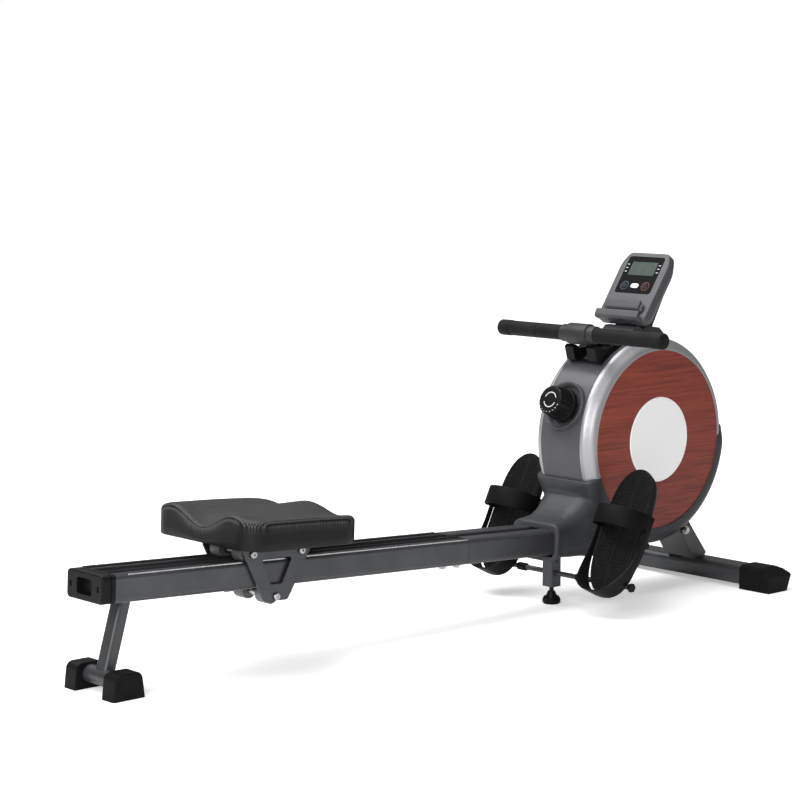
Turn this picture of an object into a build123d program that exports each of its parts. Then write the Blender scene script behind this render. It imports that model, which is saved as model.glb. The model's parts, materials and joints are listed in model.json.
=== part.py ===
from build123d import *
import os
from math import sin, cos, tan, radians, sqrt

# Magnetic rowing machine.  Millimetres, +X towards the flywheel end, +Y to the rower's left, +Z up,
# with the floor at Z = 0 and the origin under the middle of the whole machine.

os.makedirs("parts", exist_ok=True)

# ---- driving dimensions ----
HALF_LENGTH = 850.0
HALF_WIDTH = 256.0
FIT = 0.3                       # gap between curved faces on different bodies
RUN = 0.05                      # radial clearance of a running fit

TILT = 2.74                     # the rail falls this many degrees towards the flywheel
JOINT_X = 53.0                  # where the rail bolts on to the front beam
JOINT_TOP_Z = 183.7             # height of the rail's top face at that joint
RAIL_W = 112.0
RAIL_H = 53.3
RAIL_CORNER = 9.0
RAIL_WALL = 3.0
CHANNEL_W = 30.0                # recess between the two tracks
CHANNEL_DEPTH = 15.0
TRACK_IN = 18.5                 # inner and outer edge of the groove that a roller runs in
TRACK_OUT = 48.5
TRACK_DEPTH = 3.5
CAP_LENGTH = 30.0

HUB_X = 597.0                   # centre of the round housing
HUB_Z = 342.0
BAND_R = 222.0                  # outer radius of the housing
BAND_HALF = 57.0                # half width of the plain band
PANEL_R = 195.0
PANEL_Y = 84.0
BADGE_R = 93.0
BEAM_END_X = 440.0
SHROUD_R = 232.0
SHROUD_HALF = 87.0
SHROUD_WALL = 3.0
SHROUD_REAR_DEG = 199.0         # the lower shroud runs from here, under the hub, to the front tip
SHROUD_TIP_DEG = 363.0
COLLAR_X = 305.0
COLLAR_HALF = 63.0

SEAT_X = -455.5                 # middle of the seat carriage
SEAT_LENGTH = 272.0
SEAT_HALF = 155.0
SEAT_THICK = 57.0
SEAT_CORNER = 46.0
SEAT_BASE_H = 34.0              # cushion's underside above the rail
ROLLER_R = 17.0
ROLLER_W = 29.0
ROLLER_Y = 33.5
AXLE_R = 5.0
AXLE_SPREAD = 58.5
PLATE_Y = 61.5
PLATE_T = 3.0
LOWER_AXLE_H = -(RAIL_H + ROLLER_R + FIT)

HANDLE_X = 435.0
HANDLE_Z = 577.0
HANDLE_HALF = 240.0
GRIP_R = 17.0
BAR_R = 11.0
HANDLE_JOINT_HALF = 49.0

PEDAL_Y = 164.0
PEDAL_HALF = 56.0
PEDAL_ANGLE = 63.4              # tread's angle above the floor
PEDAL_HEEL_X = 329.0            # lower end of the tread's middle line
PEDAL_HEEL_Z = 49.0
PEDAL_LENGTH = 280.0
ROD_X = 352.0                   # lower pedal rod, through the middle leg
ROD_Z = 68.0
ROD_R = 5.5
REST_X = 400.0                  # upper rest bar
REST_Z = 150.0
REST_R = 6.0

LEG_X = 352.0
SPOOL_X = 520.0
SPOOL_Z = 395.0
WHEEL_X = 655.0
WHEEL_Z = 300.0
FLYWHEEL_R = 112.0
DRIVE_PULLEY_R = 80.0
SMALL_PULLEY_R = 20.0
BELT_Y = 33.0
FRAME_Y = 44.0                  # middle of each upright plate inside the housing
FRAME_T = 4.0

KNOB_DEG = 21.6                 # knob's axis above horizontal
KNOB_HOLE_R = 50.0
KNOB_SPINDLE_R = 6.0

CONSOLE_LOW = (557.0, 600.0)    # lower and upper edge of the console's face, X and Z
CONSOLE_HIGH = (656.0, 744.0)
CONSOLE_HALF = 70.0
CONSOLE_DEPTH = 38.0
BUTTON_PITCH = 30.0


# ---- frames of reference ----
RAIL = Pos(JOINT_X, 0, JOINT_TOP_Z) * Rot(0, TILT, 0)    # x along the rail, z up from its top face
SEAT = RAIL * Pos((SEAT_X - JOINT_X) / cos(radians(TILT)), 0, 0)
HUB = Pos(HUB_X, 0, HUB_Z)
RAIL_REAR = (-HALF_LENGTH - JOINT_X + RAIL_H * sin(radians(TILT))) / cos(radians(TILT))


def rail_top(x):
    return JOINT_TOP_Z - (x - JOINT_X) * tan(radians(TILT))


def console_frame():
    dx = CONSOLE_HIGH[0] - CONSOLE_LOW[0]
    dz = CONSOLE_HIGH[1] - CONSOLE_LOW[1]
    up = Vector(dx, 0, dz).normalized()
    out = Vector(-up.Z, 0, up.X)
    return Plane(origin=(CONSOLE_LOW[0], 0, CONSOLE_LOW[1]), x_dir=(0, -1, 0), z_dir=out)


def console_length():
    return sqrt((CONSOLE_HIGH[0] - CONSOLE_LOW[0]) ** 2 + (CONSOLE_HIGH[1] - CONSOLE_LOW[1]) ** 2)


def cyl_y(x, z, r, y0, y1):
    return Pos(x, (y0 + y1) / 2, z) * Rot(90, 0, 0) * Cylinder(r, abs(y1 - y0))


def ring_y(x, z, r_in, r_out, y0, y1):
    return cyl_y(x, z, r_out, y0, y1) - cyl_y(x, z, r_in, y0 - 1, y1 + 1)


def box_between(x0, x1, y0, y1, z0, z1):
    return Pos((x0 + x1) / 2, (y0 + y1) / 2, (z0 + z1) / 2) * Box(x1 - x0, y1 - y0, z1 - z0)


def hex_y(x, z, across, y0, y1):
    face = Plane(origin=(x, y0, z), x_dir=(1, 0, 0), z_dir=(0, 1, 0)) * RegularPolygon(across / 2, 6, major_radius=False)
    return extrude(face, amount=y1 - y0)


def mirror_y(shape):
    return mirror(shape, about=Plane.XZ)


def extrude_xz(points, y0, y1):
    # a closed outline given as X, Z pairs, carried from y0 to y1
    plane = Plane(origin=(0, y1, 0), x_dir=(1, 0, 0), z_dir=(0, -1, 0))
    return extrude(plane * make_face(Polyline(*points, close=True)), amount=y1 - y0)


def group(*shapes):
    solids = []
    for shape in shapes:
        solids += shape.solids()
    return Compound(children=solids)


# ---- rail and frame ----
def rail_section(with_grooves):
    face = Pos(0, -RAIL_H / 2) * RectangleRounded(RAIL_W, RAIL_H, RAIL_CORNER)
    face -= Pos(0, -CHANNEL_DEPTH / 2 + 1) * Rectangle(CHANNEL_W, CHANNEL_DEPTH + 2)
    middle = (TRACK_IN + TRACK_OUT) / 2
    if with_grooves:
        for side in (-1, 1):
            face -= Pos(side * middle, -TRACK_DEPTH / 2 + 1) * Rectangle(TRACK_OUT - TRACK_IN, TRACK_DEPTH + 2)
    chamber_top = -TRACK_DEPTH - RAIL_WALL
    chamber_h = RAIL_H - RAIL_WALL + chamber_top
    inner = CHANNEL_W / 2 + RAIL_WALL
    chamber_w = RAIL_W / 2 - RAIL_WALL - inner
    for side in (-1, 1):
        face -= Pos(side * (inner + chamber_w / 2), chamber_top - chamber_h / 2) * RectangleRounded(chamber_w, chamber_h, 3)
    low_top = -CHANNEL_DEPTH - RAIL_WALL
    low_h = RAIL_H - RAIL_WALL + low_top
    face -= Pos(0, low_top - low_h / 2) * Rectangle(CHANNEL_W, low_h)
    return face


def slide_rail():
    start = RAIL_REAR + CAP_LENGTH
    body = extrude(Plane.YZ * rail_section(True), amount=-start)
    rib = Pos(-start / 2, 0, -TRACK_DEPTH - 0.6) * Box(-start, 1.6, 2.8)
    ribs = Part()
    for y in (TRACK_OUT + 2.2, TRACK_IN - 1.6):
        for side in (-1, 1):
            ribs += Pos(0, side * y, TRACK_DEPTH) * rib
    return RAIL * Pos(start, 0, 0) * (body + ribs)


def rail_end_cap():
    face = Plane.YZ * Pos(0, -RAIL_H / 2) * RectangleRounded(RAIL_W, RAIL_H, RAIL_CORNER)
    body = extrude(face, amount=CAP_LENGTH - 0.2)
    groove = extrude(Plane.YZ * Pos(0, -RAIL_H / 2) * (RectangleRounded(RAIL_W + 6, RAIL_H + 6, RAIL_CORNER)
                     - RectangleRounded(RAIL_W - 3, RAIL_H - 3, RAIL_CORNER - 2)), amount=2.5)
    body -= Pos(CAP_LENGTH * 0.62, 0, 0) * groove
    pocket = extrude(Plane.YZ * Pos(0, -RAIL_H / 2) * RectangleRounded(47, 30, 5), amount=16)
    body -= Pos(-1, 0, 0) * pocket
    body = fillet(body.faces().sort_by(Axis.X)[0].outer_wire().edges(), 3.5)
    for side in (-1, 1):
        body -= Pos(4, side * 43, -RAIL_H / 2) * Box(12, 5.5, 11)
        body -= Pos(CAP_LENGTH / 2, side * 43, -RAIL_H / 2) * Rot(0, 90, 0) * Cylinder(2, CAP_LENGTH + 2)
    return RAIL * Pos(RAIL_REAR, 0, 0) * body


def rail_end_cap_screws():
    screws = []
    for side in (-1, 1):
        head = Pos(8.7, side * 43, -RAIL_H / 2) * Rot(0, 90, 0) * Cylinder(2.7, 2.4)
        shank = Pos(19.8, side * 43, -RAIL_H / 2) * Rot(0, 90, 0) * Cylinder(1.95, 19.8)
        screws.append(RAIL * Pos(RAIL_REAR, 0, 0) * (head + shank))
    return group(*screws)


def front_beam():
    length = (BEAM_END_X - JOINT_X) / cos(radians(TILT))
    body = extrude(Plane.YZ * rail_section(False), amount=length)
    body = Pos(0.8, 0, 0) * body
    edges = body.edges().filter_by(Axis.X).filter_by_position(Axis.Z, -0.5, 0.5)
    edges = [e for e in edges if abs(abs(e.center().Y) - CHANNEL_W / 2) < 0.5]
    body = RAIL * fillet(edges, 5)
    return body - cyl_y(REST_X, REST_Z, REST_R + RUN, -80, 80)


def rail_joint_insert():
    # a flat steel tongue inside each side chamber carries the rail on to the beam
    tongues = []
    for side in (-1, 1):
        tongues.append(RAIL * Pos(0, side * 35.5, -30) * Box(240, 30, 40))
    return group(*tongues)


def rail_joint_bolts():
    bolts = []
    for x in (-49.0, -10.0):
        for side in (-1, 1):
            head = Pos(x, side * 30, -RAIL_H - 3) * extrude(RegularPolygon(6.5, 6, major_radius=False), amount=-4.5)
            washer = Pos(x, side * 30, -RAIL_H - 1.5) * Cylinder(9, 2.6)
            bolts.append(RAIL * (head + washer))
    return group(*bolts)


def seat_stops():
    # rubber stops in the middle channel, one at each end of the seat's travel
    blocks = []
    for x in (-858.0, -24.0):
        blocks.append(RAIL * Pos(x, 0, -CHANNEL_DEPTH / 2 - 1) * Box(20, CHANNEL_W - 1, CHANNEL_DEPTH - 4))
    return group(*blocks)


REAR_TUBE_X = -809.0
REAR_TUBE_Z = 28.0
REAR_TUBE_R = 17.0


def rear_post():
    top = Vector(-768, 0, 168)
    foot = Vector(REAR_TUBE_X, 0, REAR_TUBE_Z)
    lean = (top - foot).normalized()
    plane = Plane(origin=foot, x_dir=(0, 1, 0), z_dir=lean)
    length = (top - foot).length + 30
    tube = extrude(plane * RectangleRounded(34, 27, 9), amount=length)
    tube -= extrude(plane * RectangleRounded(29, 22, 6.5), amount=length)
    tube -= cyl_y(REAR_TUBE_X, REAR_TUBE_Z, REAR_TUBE_R, -40, 40)
    tube -= RAIL * Pos(-400, 0, -RAIL_H / 2) * Box(1200, 140, RAIL_H)
    tube -= RAIL * Pos(-400, 0, 50) * Box(1200, 140, 100)
    return tube


def rear_stabilizer():
    return ring_y(REAR_TUBE_X, REAR_TUBE_Z, REAR_TUBE_R - 2, REAR_TUBE_R, -77, 77)


def rear_foot_cap():
    # tapered block with a rounded crown and an oval raised disc on its outer face
    body = extrude_xz([(-844, 0), (-774, 0), (-780, 49), (-838, 49)], -80, -43)
    body = fillet(body.edges().filter_by(Axis.Y).sort_by(Axis.Z)[-2:], 15)
    body = fillet(body.faces().sort_by(Axis.Y)[0].outer_wire().edges().sort_by(Axis.Z)[1:], 4)
    body -= cyl_y(REAR_TUBE_X, REAR_TUBE_Z, REAR_TUBE_R + 0.05, -77, -42)
    oval = Plane(origin=(-808, -80, 25), x_dir=(1, 0, 0), z_dir=(0, -1, 0)) * SlotOverall(46, 26)
    return body + extrude(oval, amount=0.9)


def middle_leg():
    top = rail_top(LEG_X) - RAIL_H / cos(radians(TILT)) + 4
    body = box_between(LEG_X - 14, LEG_X + 14, -15, 15, 38, top)
    body = fillet(body.edges().filter_by(Axis.Z), 2.5)
    body -= box_between(LEG_X - 11.5, LEG_X + 11.5, -12.5, 12.5, 44, top + 1)
    body -= RAIL * Pos(300, 0, -RAIL_H / 2) * Box(600, 140, RAIL_H)
    body -= Pos(LEG_X, 0, 41) * Cylinder(5, 12)
    body -= cyl_y(ROD_X, ROD_Z, ROD_R + RUN, -30, 30)
    body -= cyl_y(LEG_X, 95, 3, -30, 30)
    return body


def middle_leg_bolt():
    bolt = Pos(LEG_X - 26, -34, rail_top(LEG_X - 26) - RAIL_H - 3.6) * Cylinder(6, 5)
    return group(bolt, mirror_y(bolt))


def leveling_foot():
    stud = Pos(LEG_X, 0, 38) * Cylinder(4.95, 26)
    cone = Pos(LEG_X, 0, 20) * Cone(13, 8, 14)
    pad = Pos(LEG_X, 0, 6.5) * Cylinder(19.5, 13)
    pad = chamfer(pad.edges(), 3)
    lobes = Part()
    for k in range(8):
        lobes += Pos(LEG_X, 0, 0) * Rot(0, 0, 45 * k) * Pos(15.5, 0, 9.5) * Rot(0, -28, 0) * Box(7, 5, 13)
    return stud + cone + pad + (lobes & (Pos(LEG_X, 0, 12) * Cylinder(19.5, 20)))


FRONT_CAP_Y = 173.0             # inner end of a front foot cap
FRONT_TUBE_HALF = 199.0


def front_tube_face():
    plane = Plane(origin=(804, 0, 29), x_dir=(1, 0, 0), z_dir=(0, -1, 0))
    return plane * RectangleRounded(64, 42, 14)


def front_stabilizer():
    outer = extrude(front_tube_face(), amount=FRONT_TUBE_HALF, both=True)
    inner = extrude(offset(front_tube_face(), -2.2), amount=HALF_WIDTH, both=True)
    return outer - inner


def front_foot_cap():
    outline = [(770.8, 0), (834, 0), (HALF_LENGTH, 38), (842, 47), (826, 54), (780, 54), (770.8, 47)]
    body = extrude_xz(outline, -HALF_WIDTH, -FRONT_CAP_Y)
    slope = [(-HALF_WIDTH - 1, 34), (-HALF_WIDTH - 1, 60), (-212, 60), (-228, 54.5)]
    cut = extrude(Plane.YZ * make_face(Polyline(*slope, close=True)), amount=HALF_LENGTH * 2)
    body -= cut
    body = fillet(body.edges().filter_by(Axis.Y).sort_by(Axis.Z)[-4:], 6)
    body -= extrude(offset(front_tube_face(), 0.05), amount=FRONT_TUBE_HALF + 0.2)
    x, y, z = WHEEL_AXLE
    wheel_well = Pos(834, y, 16) * Box(48, 23, 42)
    return body - wheel_well - cyl_y(x, z, 3.0, y - 17, y + 17)


WHEEL_AXLE = (828.0, -214.0, 19.0)


def transport_wheel():
    x, y, z = WHEEL_AXLE
    wheel = ring_y(x, z, 3.05, 16.5, y - 9, y + 9)
    wheel = fillet(wheel.edges().filter_by(GeomType.CIRCLE).sort_by_distance((x + 16.5, y, z))[0:2], 2)
    return wheel


def transport_wheel_pin():
    x, y, z = WHEEL_AXLE
    return cyl_y(x, z, 3.0, y - 17, y + 17)


def front_bracket():
    # a pressed channel that carries the housing's frame down on to the front stabilizer
    outline = [(716, 127), (742, 150), (758, 128), (812, 60), (804, 50.5), (770, 50.5)]
    flange = extrude_xz(outline, -FRAME_Y + FRAME_T / 2 + 0.2, -FRAME_Y + FRAME_T / 2 + 4.2)
    web_line = [(716, 127), (720, 130), (774, 51.5), (769, 51.5)]
    web = extrude_xz(web_line, -38, 38)
    body = flange + mirror_y(flange) + web
    body -= extrude(offset(front_tube_face(), 0.01), amount=HALF_WIDTH, both=True)
    body -= cyl_y(734, 120, 5, -60, 60)
    return body


def front_bracket_bolts():
    bolts = []
    outer = FRAME_Y + FRAME_T / 2
    inner = FRAME_Y - FRAME_T / 2 - 4.3
    for side in (-1, 1):
        for radius, near, far in ((4.9, inner, outer + 8), (9.0, outer + 0.05, outer + 2)):
            y0, y1 = sorted((side * near, side * far))
            bolts.append(cyl_y(734, 120, radius, y0, y1))
        y0, y1 = sorted((side * (outer + 2), side * (outer + 7)))
        bolts.append(hex_y(734, 120, 13, y0, y1))
    return group(bolts[0] + bolts[1] + bolts[2], bolts[3] + bolts[4] + bolts[5])


# ---- inside the housing ----
def inner_frame():
    outline = [(430, 122), (556, 114), (600, 150), (716, 108), (742, 112), (752, 130), (690, 300),
               (640, 350), (548, 425), (500, 425), (476, 330)]
    plate = extrude_xz(outline, -FRAME_Y - FRAME_T / 2, -FRAME_Y + FRAME_T / 2)
    plate -= cyl_y(SPOOL_X, SPOOL_Z, 6, -80, 0)
    plate -= cyl_y(WHEEL_X, WHEEL_Z, 6, -80, 0)
    plate -= cyl_y(734, 120, 5, -80, 0)
    plate -= cyl_y(580, 250, 34, -80, 0)
    beam_room = RAIL * Pos(350, 0, -RAIL_H / 2) * Box(700, RAIL_W + 0.1, RAIL_H + 0.1)
    shifted = plate - beam_room
    bars = Part()
    for x, z in ((500, 300), (700, 180), (560, 190)):
        bars += cyl_y(x, z, 5, -FRAME_Y + FRAME_T / 2, FRAME_Y - FRAME_T / 2)
    return shifted + mirror_y(shifted) + bars


def flywheel():
    wheel = cyl_y(WHEEL_X, WHEEL_Z, FLYWHEEL_R, -24, 4)
    wheel -= ring_y(WHEEL_X, WHEEL_Z, 30, FLYWHEEL_R - 14, -25, -18)
    wheel -= ring_y(WHEEL_X, WHEEL_Z, 30, FLYWHEEL_R - 14, -2, 5)
    hub = cyl_y(WHEEL_X, WHEEL_Z, 14, -30, BELT_Y - 8)
    pulley = cyl_y(WHEEL_X, WHEEL_Z, SMALL_PULLEY_R, BELT_Y - 8, BELT_Y + 8)
    body = wheel + hub + pulley
    return body - cyl_y(WHEEL_X, WHEEL_Z, 6 + RUN, -60, 60)


def flywheel_axle():
    return cyl_y(WHEEL_X, WHEEL_Z, 6, -FRAME_Y - 8, FRAME_Y + 8)


def drive_pulley():
    pulley = ring_y(SPOOL_X, SPOOL_Z, 6 + RUN, DRIVE_PULLEY_R, BELT_Y - 7, BELT_Y + 7)
    pulley -= ring_y(SPOOL_X, SPOOL_Z, 24, DRIVE_PULLEY_R - 12, BELT_Y - 8, BELT_Y - 2.5)
    pulley -= ring_y(SPOOL_X, SPOOL_Z, 24, DRIVE_PULLEY_R - 12, BELT_Y + 2.5, BELT_Y + 8)
    return pulley


SPOOL_CORE = 24.0
WINDING_R = 38.0


def strap_spool():
    core = ring_y(SPOOL_X, SPOOL_Z, 6 + RUN, SPOOL_CORE, -18, 24)
    for y in (-18, 15):
        core += ring_y(SPOOL_X, SPOOL_Z, SPOOL_CORE - 1, 46, y, y + 3)
    return core


def strap_winding():
    return ring_y(SPOOL_X, SPOOL_Z, SPOOL_CORE, WINDING_R, -14.5, 14.5)


def spool_axle():
    return cyl_y(SPOOL_X, SPOOL_Z, 6, -FRAME_Y - 8, FRAME_Y + 8)


def recoil_spring_case():
    case = ring_y(SPOOL_X, SPOOL_Z, 7, 42, -FRAME_Y + FRAME_T / 2, -20)
    return case - ring_y(SPOOL_X, SPOOL_Z, 7, 39, -FRAME_Y + FRAME_T / 2 + 2.5, -22.5)


def recoil_spring():
    turns = []
    for k in range(5):
        r = 12 + 5.2 * k
        turns.append(ring_y(SPOOL_X, SPOOL_Z, r, r + 0.8, -39, -23))
    return group(*turns)


def drive_belt():
    # flat ribbed belt round both pulleys, as two rims joined by the outer tangents
    gap = FIT
    big = DRIVE_PULLEY_R + gap
    small = SMALL_PULLEY_R + gap
    dx = WHEEL_X - SPOOL_X
    dz = WHEEL_Z - SPOOL_Z
    dist = sqrt(dx * dx + dz * dz)

    def hull_face(grow):
        circle_a = Pos(SPOOL_X, SPOOL_Z) * Circle(big + grow)
        circle_b = Pos(WHEEL_X, WHEEL_Z) * Circle(small + grow)
        lean = (big - small) / dist
        across = sqrt(1 - lean * lean)
        ux, uz = dx / dist, dz / dist
        corners = []
        for side in (1, -1):
            nx = ux * lean - side * uz * across
            nz = uz * lean + side * ux * across
            corners.append((SPOOL_X + nx * (big + grow), SPOOL_Z + nz * (big + grow)))
            corners.append((WHEEL_X + nx * (small + grow), WHEEL_Z + nz * (small + grow)))
        quad = make_face(Polyline(corners[0], corners[1], corners[3], corners[2], close=True))
        return circle_a + circle_b + quad

    plane = Plane(origin=(0, BELT_Y + 6, 0), x_dir=(1, 0, 0), z_dir=(0, -1, 0))
    return extrude(plane * hull_face(2), amount=12) - extrude(plane * hull_face(0), amount=12)


MAGNET_PIVOT = (760.0, 372.0)


def magnet_bracket():
    # a curved yoke round part of the flywheel's rim, on a pivot near its upper end
    r_in = FLYWHEEL_R + 4
    yoke = ring_y(WHEEL_X, WHEEL_Z, r_in + 3.5, r_in + 8, -26, 6)
    wedge = [(WHEEL_X, WHEEL_Z), (WHEEL_X + 220, WHEEL_Z - 60), (WHEEL_X + 220, WHEEL_Z + 160)]
    yoke = yoke & extrude_xz(wedge, -40, 40)
    px, pz = MAGNET_PIVOT
    yoke = yoke + cyl_y(px, pz, 8, -26, 6)
    return yoke - cyl_y(px, pz, 4 + RUN, -60, 60)


def magnets():
    blocks = []
    for deg in (-8, 8, 24):
        block = Pos(WHEEL_X, -10, WHEEL_Z) * Rot(0, -deg, 0) * Pos(FLYWHEEL_R + 5.2, 0, 0) * Box(3.8, 24, 22)
        blocks.append(block)
    return group(*blocks)


def magnet_pivot_pin():
    px, pz = MAGNET_PIVOT
    return cyl_y(px, pz, 4, -FRAME_Y + 6, FRAME_Y - 6)


def tension_cable():
    # steel cable from the knob's drum to the magnet yoke, in its own sheath under the band
    path = FilletPolyline((430, -30, 425), (452, -30, 470), (520, -30, 520), (640, -30, 525),
                          (740, -30, 450), (762, -30, 388), radius=[28, 45, 60, 70])
    section = Plane(origin=path @ 0, z_dir=path % 0) * Circle(2.2)
    return sweep(section, path=path)


def speed_sensor():
    body = box_between(560, 584, -40, -26, 262, 280)
    return body + box_between(566, 578, -FRAME_Y + FRAME_T / 2, -40, 268, 274)


# ---- housing ----
def band_arc(r_in, r_out, y0, y1, deg0, deg1):
    sector = [(0.0, 0.0)]
    reach = 420.0
    steps = 12
    for k in range(steps + 1):
        deg = deg0 + (deg1 - deg0) * k / steps
        sector.append((reach * cos(radians(deg)), reach * sin(radians(deg))))
    wedge = Pos(HUB_X, 0, HUB_Z) * extrude_xz(sector, y0 - 1, y1 + 1)
    return ring_y(HUB_X, HUB_Z, r_in, r_out, y0, y1) & wedge


def centre_band():
    band = band_arc(BAND_R - 3, BAND_R, -BAND_HALF, BAND_HALF, -4, 206)
    band -= knob_axis() * Cylinder(KNOB_HOLE_R, 120)
    band -= box_between(468, 520, -17, 17, 480, 620)
    return band


def side_cover():
    outer_curve = Spline((PANEL_R + 3, PANEL_Y), (BAND_R - 9, 73.5), (BAND_R, BAND_HALF + 0.3),
                         tangents=[(1, 0), (0, -1)])
    lines = Polyline((BAND_R, BAND_HALF + 0.3), (BAND_R - 3, BAND_HALF + 0.3), (BAND_R - 11, 71),
                     (PANEL_R - 4, 75.5), (0, 75.5), (0, 78.5), (PANEL_R + 0.4, 78.5),
                     (PANEL_R + 0.4, PANEL_Y), (PANEL_R + 3, PANEL_Y))
    face = make_face(outer_curve.edges() + lines.edges())
    disc = revolve(Plane.XY * face, axis=Axis.Y, revolution_arc=360)
    disc -= Pos(0, 77, 0) * Rot(90, 0, 0) * Cylinder(9, 12)
    return mirror_y(HUB * disc)


def wood_panel():
    return ring_y(HUB_X, HUB_Z, BADGE_R + 0.4, PANEL_R, -PANEL_Y, -78.6)


def badge():
    disc = cyl_y(HUB_X, HUB_Z, BADGE_R, -PANEL_Y - 1.6, -78.6)
    rim = disc.edges().filter_by(GeomType.CIRCLE).sort_by(Axis.Y)[0]
    return chamfer(rim, 1.2)


def shroud_outline(inset):
    # side outline of the lower shroud in X and Z, pulled in by `inset`
    r = SHROUD_R - inset
    rear = radians(SHROUD_REAR_DEG)
    points = [(HUB_X + r * cos(rear), HUB_Z + r * sin(rear)), (374 + inset, 226), (379 + inset, 205),
              (364, 192 - inset), (COLLAR_X - 1, 182 - inset), (COLLAR_X - 1, 108 + inset),
              (450, 106.5 + inset), (HUB_X - 30, HUB_Z - SHROUD_R + 1.5 + inset)]
    steps = 24
    for k in range(steps + 1):
        deg = 272 + (SHROUD_TIP_DEG - 272) * k / steps
        points.append((HUB_X + r * cos(radians(deg)), HUB_Z + r * sin(radians(deg))))
    points.append((HUB_X + 60, HUB_Z + 20))
    points.append((HUB_X - 60, HUB_Z - 20))
    return points


def shroud_block(inset):
    # half of the shroud as a solid, narrowed to the collar's width at the rear
    block = extrude_xz(shroud_outline(inset), -SHROUD_HALF + inset, 0.5 if inset else 0)
    collar = COLLAR_HALF - inset
    trim = Polyline((200, -collar), (338, -collar), (383, -SHROUD_HALF + inset), (383, -120), (200, -120), close=True)
    return block - extrude(make_face(trim), amount=400)


def lower_shroud():
    shell = shroud_block(0) - shroud_block(SHROUD_WALL)
    shell -= cyl_y(HUB_X, HUB_Z, PANEL_R + 1, -SHROUD_HALF - 1, 1)
    shell -= cyl_y(HUB_X, HUB_Z, BAND_R + 0.3, -PANEL_Y - 0.05, 1)
    shell -= box_between(COLLAR_X - 20, COLLAR_X + 8, -RAIL_W / 2 - 0.3, 1, 117, rail_top(COLLAR_X) + 0.8)
    shell -= RAIL * Pos(BEAM_END_X - JOINT_X - 149, 0, -RAIL_H / 2) * Box(300, RAIL_W + 0.6, RAIL_H + 0.4)
    shell -= cyl_y(REST_X, REST_Z, REST_R + 0.3, -SHROUD_HALF - 1, 1)
    shell -= box_between(LEG_X - 14.3, LEG_X + 14.3, -15.3, 1, 95, 125)
    shell -= box_between(700, 770, -FRAME_Y - 12, 1, 100, 200)
    solids = shell.solids().sort_by(SortBy.VOLUME)
    return solids[-1]


def knob_axis():
    reach = BAND_R + 4
    x = HUB_X - reach * cos(radians(KNOB_DEG))
    z = HUB_Z + reach * sin(radians(KNOB_DEG))
    return Pos(x, 0, z) * Rot(0, -90 + KNOB_DEG, 0)       # z out of the housing along the knob's axis


def knob_cup():
    # a dished bezel: rim outside the band, tube and floor through the hole in it
    rim = knob_axis() * (Pos(0, 0, -6) * Cylinder(54, 20))
    rim -= cyl_y(HUB_X, HUB_Z, BAND_R + 0.05, -90, 90)
    tube = knob_axis() * (Pos(0, 0, -6) * Cylinder(KNOB_HOLE_R - 0.1, 20))
    dish = Pos(0, 0, 5) * Cylinder(46, 36) + Pos(0, 0, 2) * Cone(46, 51, 5)
    return rim + tube - knob_axis() * (dish + Cylinder(KNOB_SPINDLE_R + RUN, 60))


def resistance_knob():
    body = Pos(0, 0, 6) * Cylinder(37.5, 10)
    body += Pos(0, 0, 29) * Cone(35.5, 31, 36)
    for k in range(18):
        body -= Rot(0, 0, 20 * k) * Pos(35.5, 0, 32) * Rot(0, -7, 0) * Box(4, 4.4, 32)
    body += Pos(0, 0, 47.4) * Cylinder(24, 0.8)
    body += Pos(0, 0, -10) * Cylinder(KNOB_SPINDLE_R, 24)
    body += Pos(0, 0, -26) * Cylinder(16, 8)
    return knob_axis() * body


# ---- handle, cradle and strap ----
def handle_bar():
    return ring_y(HANDLE_X, HANDLE_Z, BAR_R - 2, BAR_R, -HANDLE_HALF + 4, HANDLE_HALF - 4)


def handle_grip():
    grip = ring_y(HANDLE_X, HANDLE_Z, BAR_R, GRIP_R, -HANDLE_HALF + 4, -HANDLE_JOINT_HALF)
    return grip


def handle_end_cap():
    cap = cyl_y(HANDLE_X, HANDLE_Z, GRIP_R + 0.4, -HANDLE_HALF, -HANDLE_HALF + 4)
    rim = cap.edges().filter_by(GeomType.CIRCLE).sort_by(Axis.Y)[0]
    return fillet(rim, 2.5)


def handle_joint():
    body = ring_y(HANDLE_X, HANDLE_Z, BAR_R, 19.5, -HANDLE_JOINT_HALF, HANDLE_JOINT_HALF)
    body += ring_y(HANDLE_X, HANDLE_Z, BAR_R, 23, -30, 30)
    lug = box_between(HANDLE_X + 8, HANDLE_X + 33, -17, 17, HANDLE_Z - 17, HANDLE_Z - 1)
    body += lug - cyl_y(HANDLE_X, HANDLE_Z, 15, -20, 20)
    body -= box_between(HANDLE_X + 14, HANDLE_X + 34, -13, 13, HANDLE_Z - 15, HANDLE_Z - 5)
    return body


GUIDE_X = 494.0
GUIDE_Z = 548.0
GUIDE_R = 9.0


def strap_guide_roller():
    return ring_y(GUIDE_X, GUIDE_Z, 3 + RUN, GUIDE_R, -16, 16)


def strap_guide_pin():
    return cyl_y(GUIDE_X, GUIDE_Z, 3, -24, 24)


def pull_strap():
    # from the handle's lug, over the guide roller, down to the winding on the spool
    inner = [(450.0, 568.4)]
    outer = [(450.0, 570.0)]
    for deg in (100, 70, 40, 10):
        for line, reach in ((inner, GUIDE_R + 0.9), (outer, GUIDE_R + 2.5)):
            line.append((GUIDE_X + reach * cos(radians(deg)), GUIDE_Z + reach * sin(radians(deg))))
    inner.append((SPOOL_X + WINDING_R + 3.0, SPOOL_Z + 10))
    outer.append((SPOOL_X + WINDING_R + 4.6, SPOOL_Z + 10))
    return extrude_xz(inner + outer[::-1], -12, 12)


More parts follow.
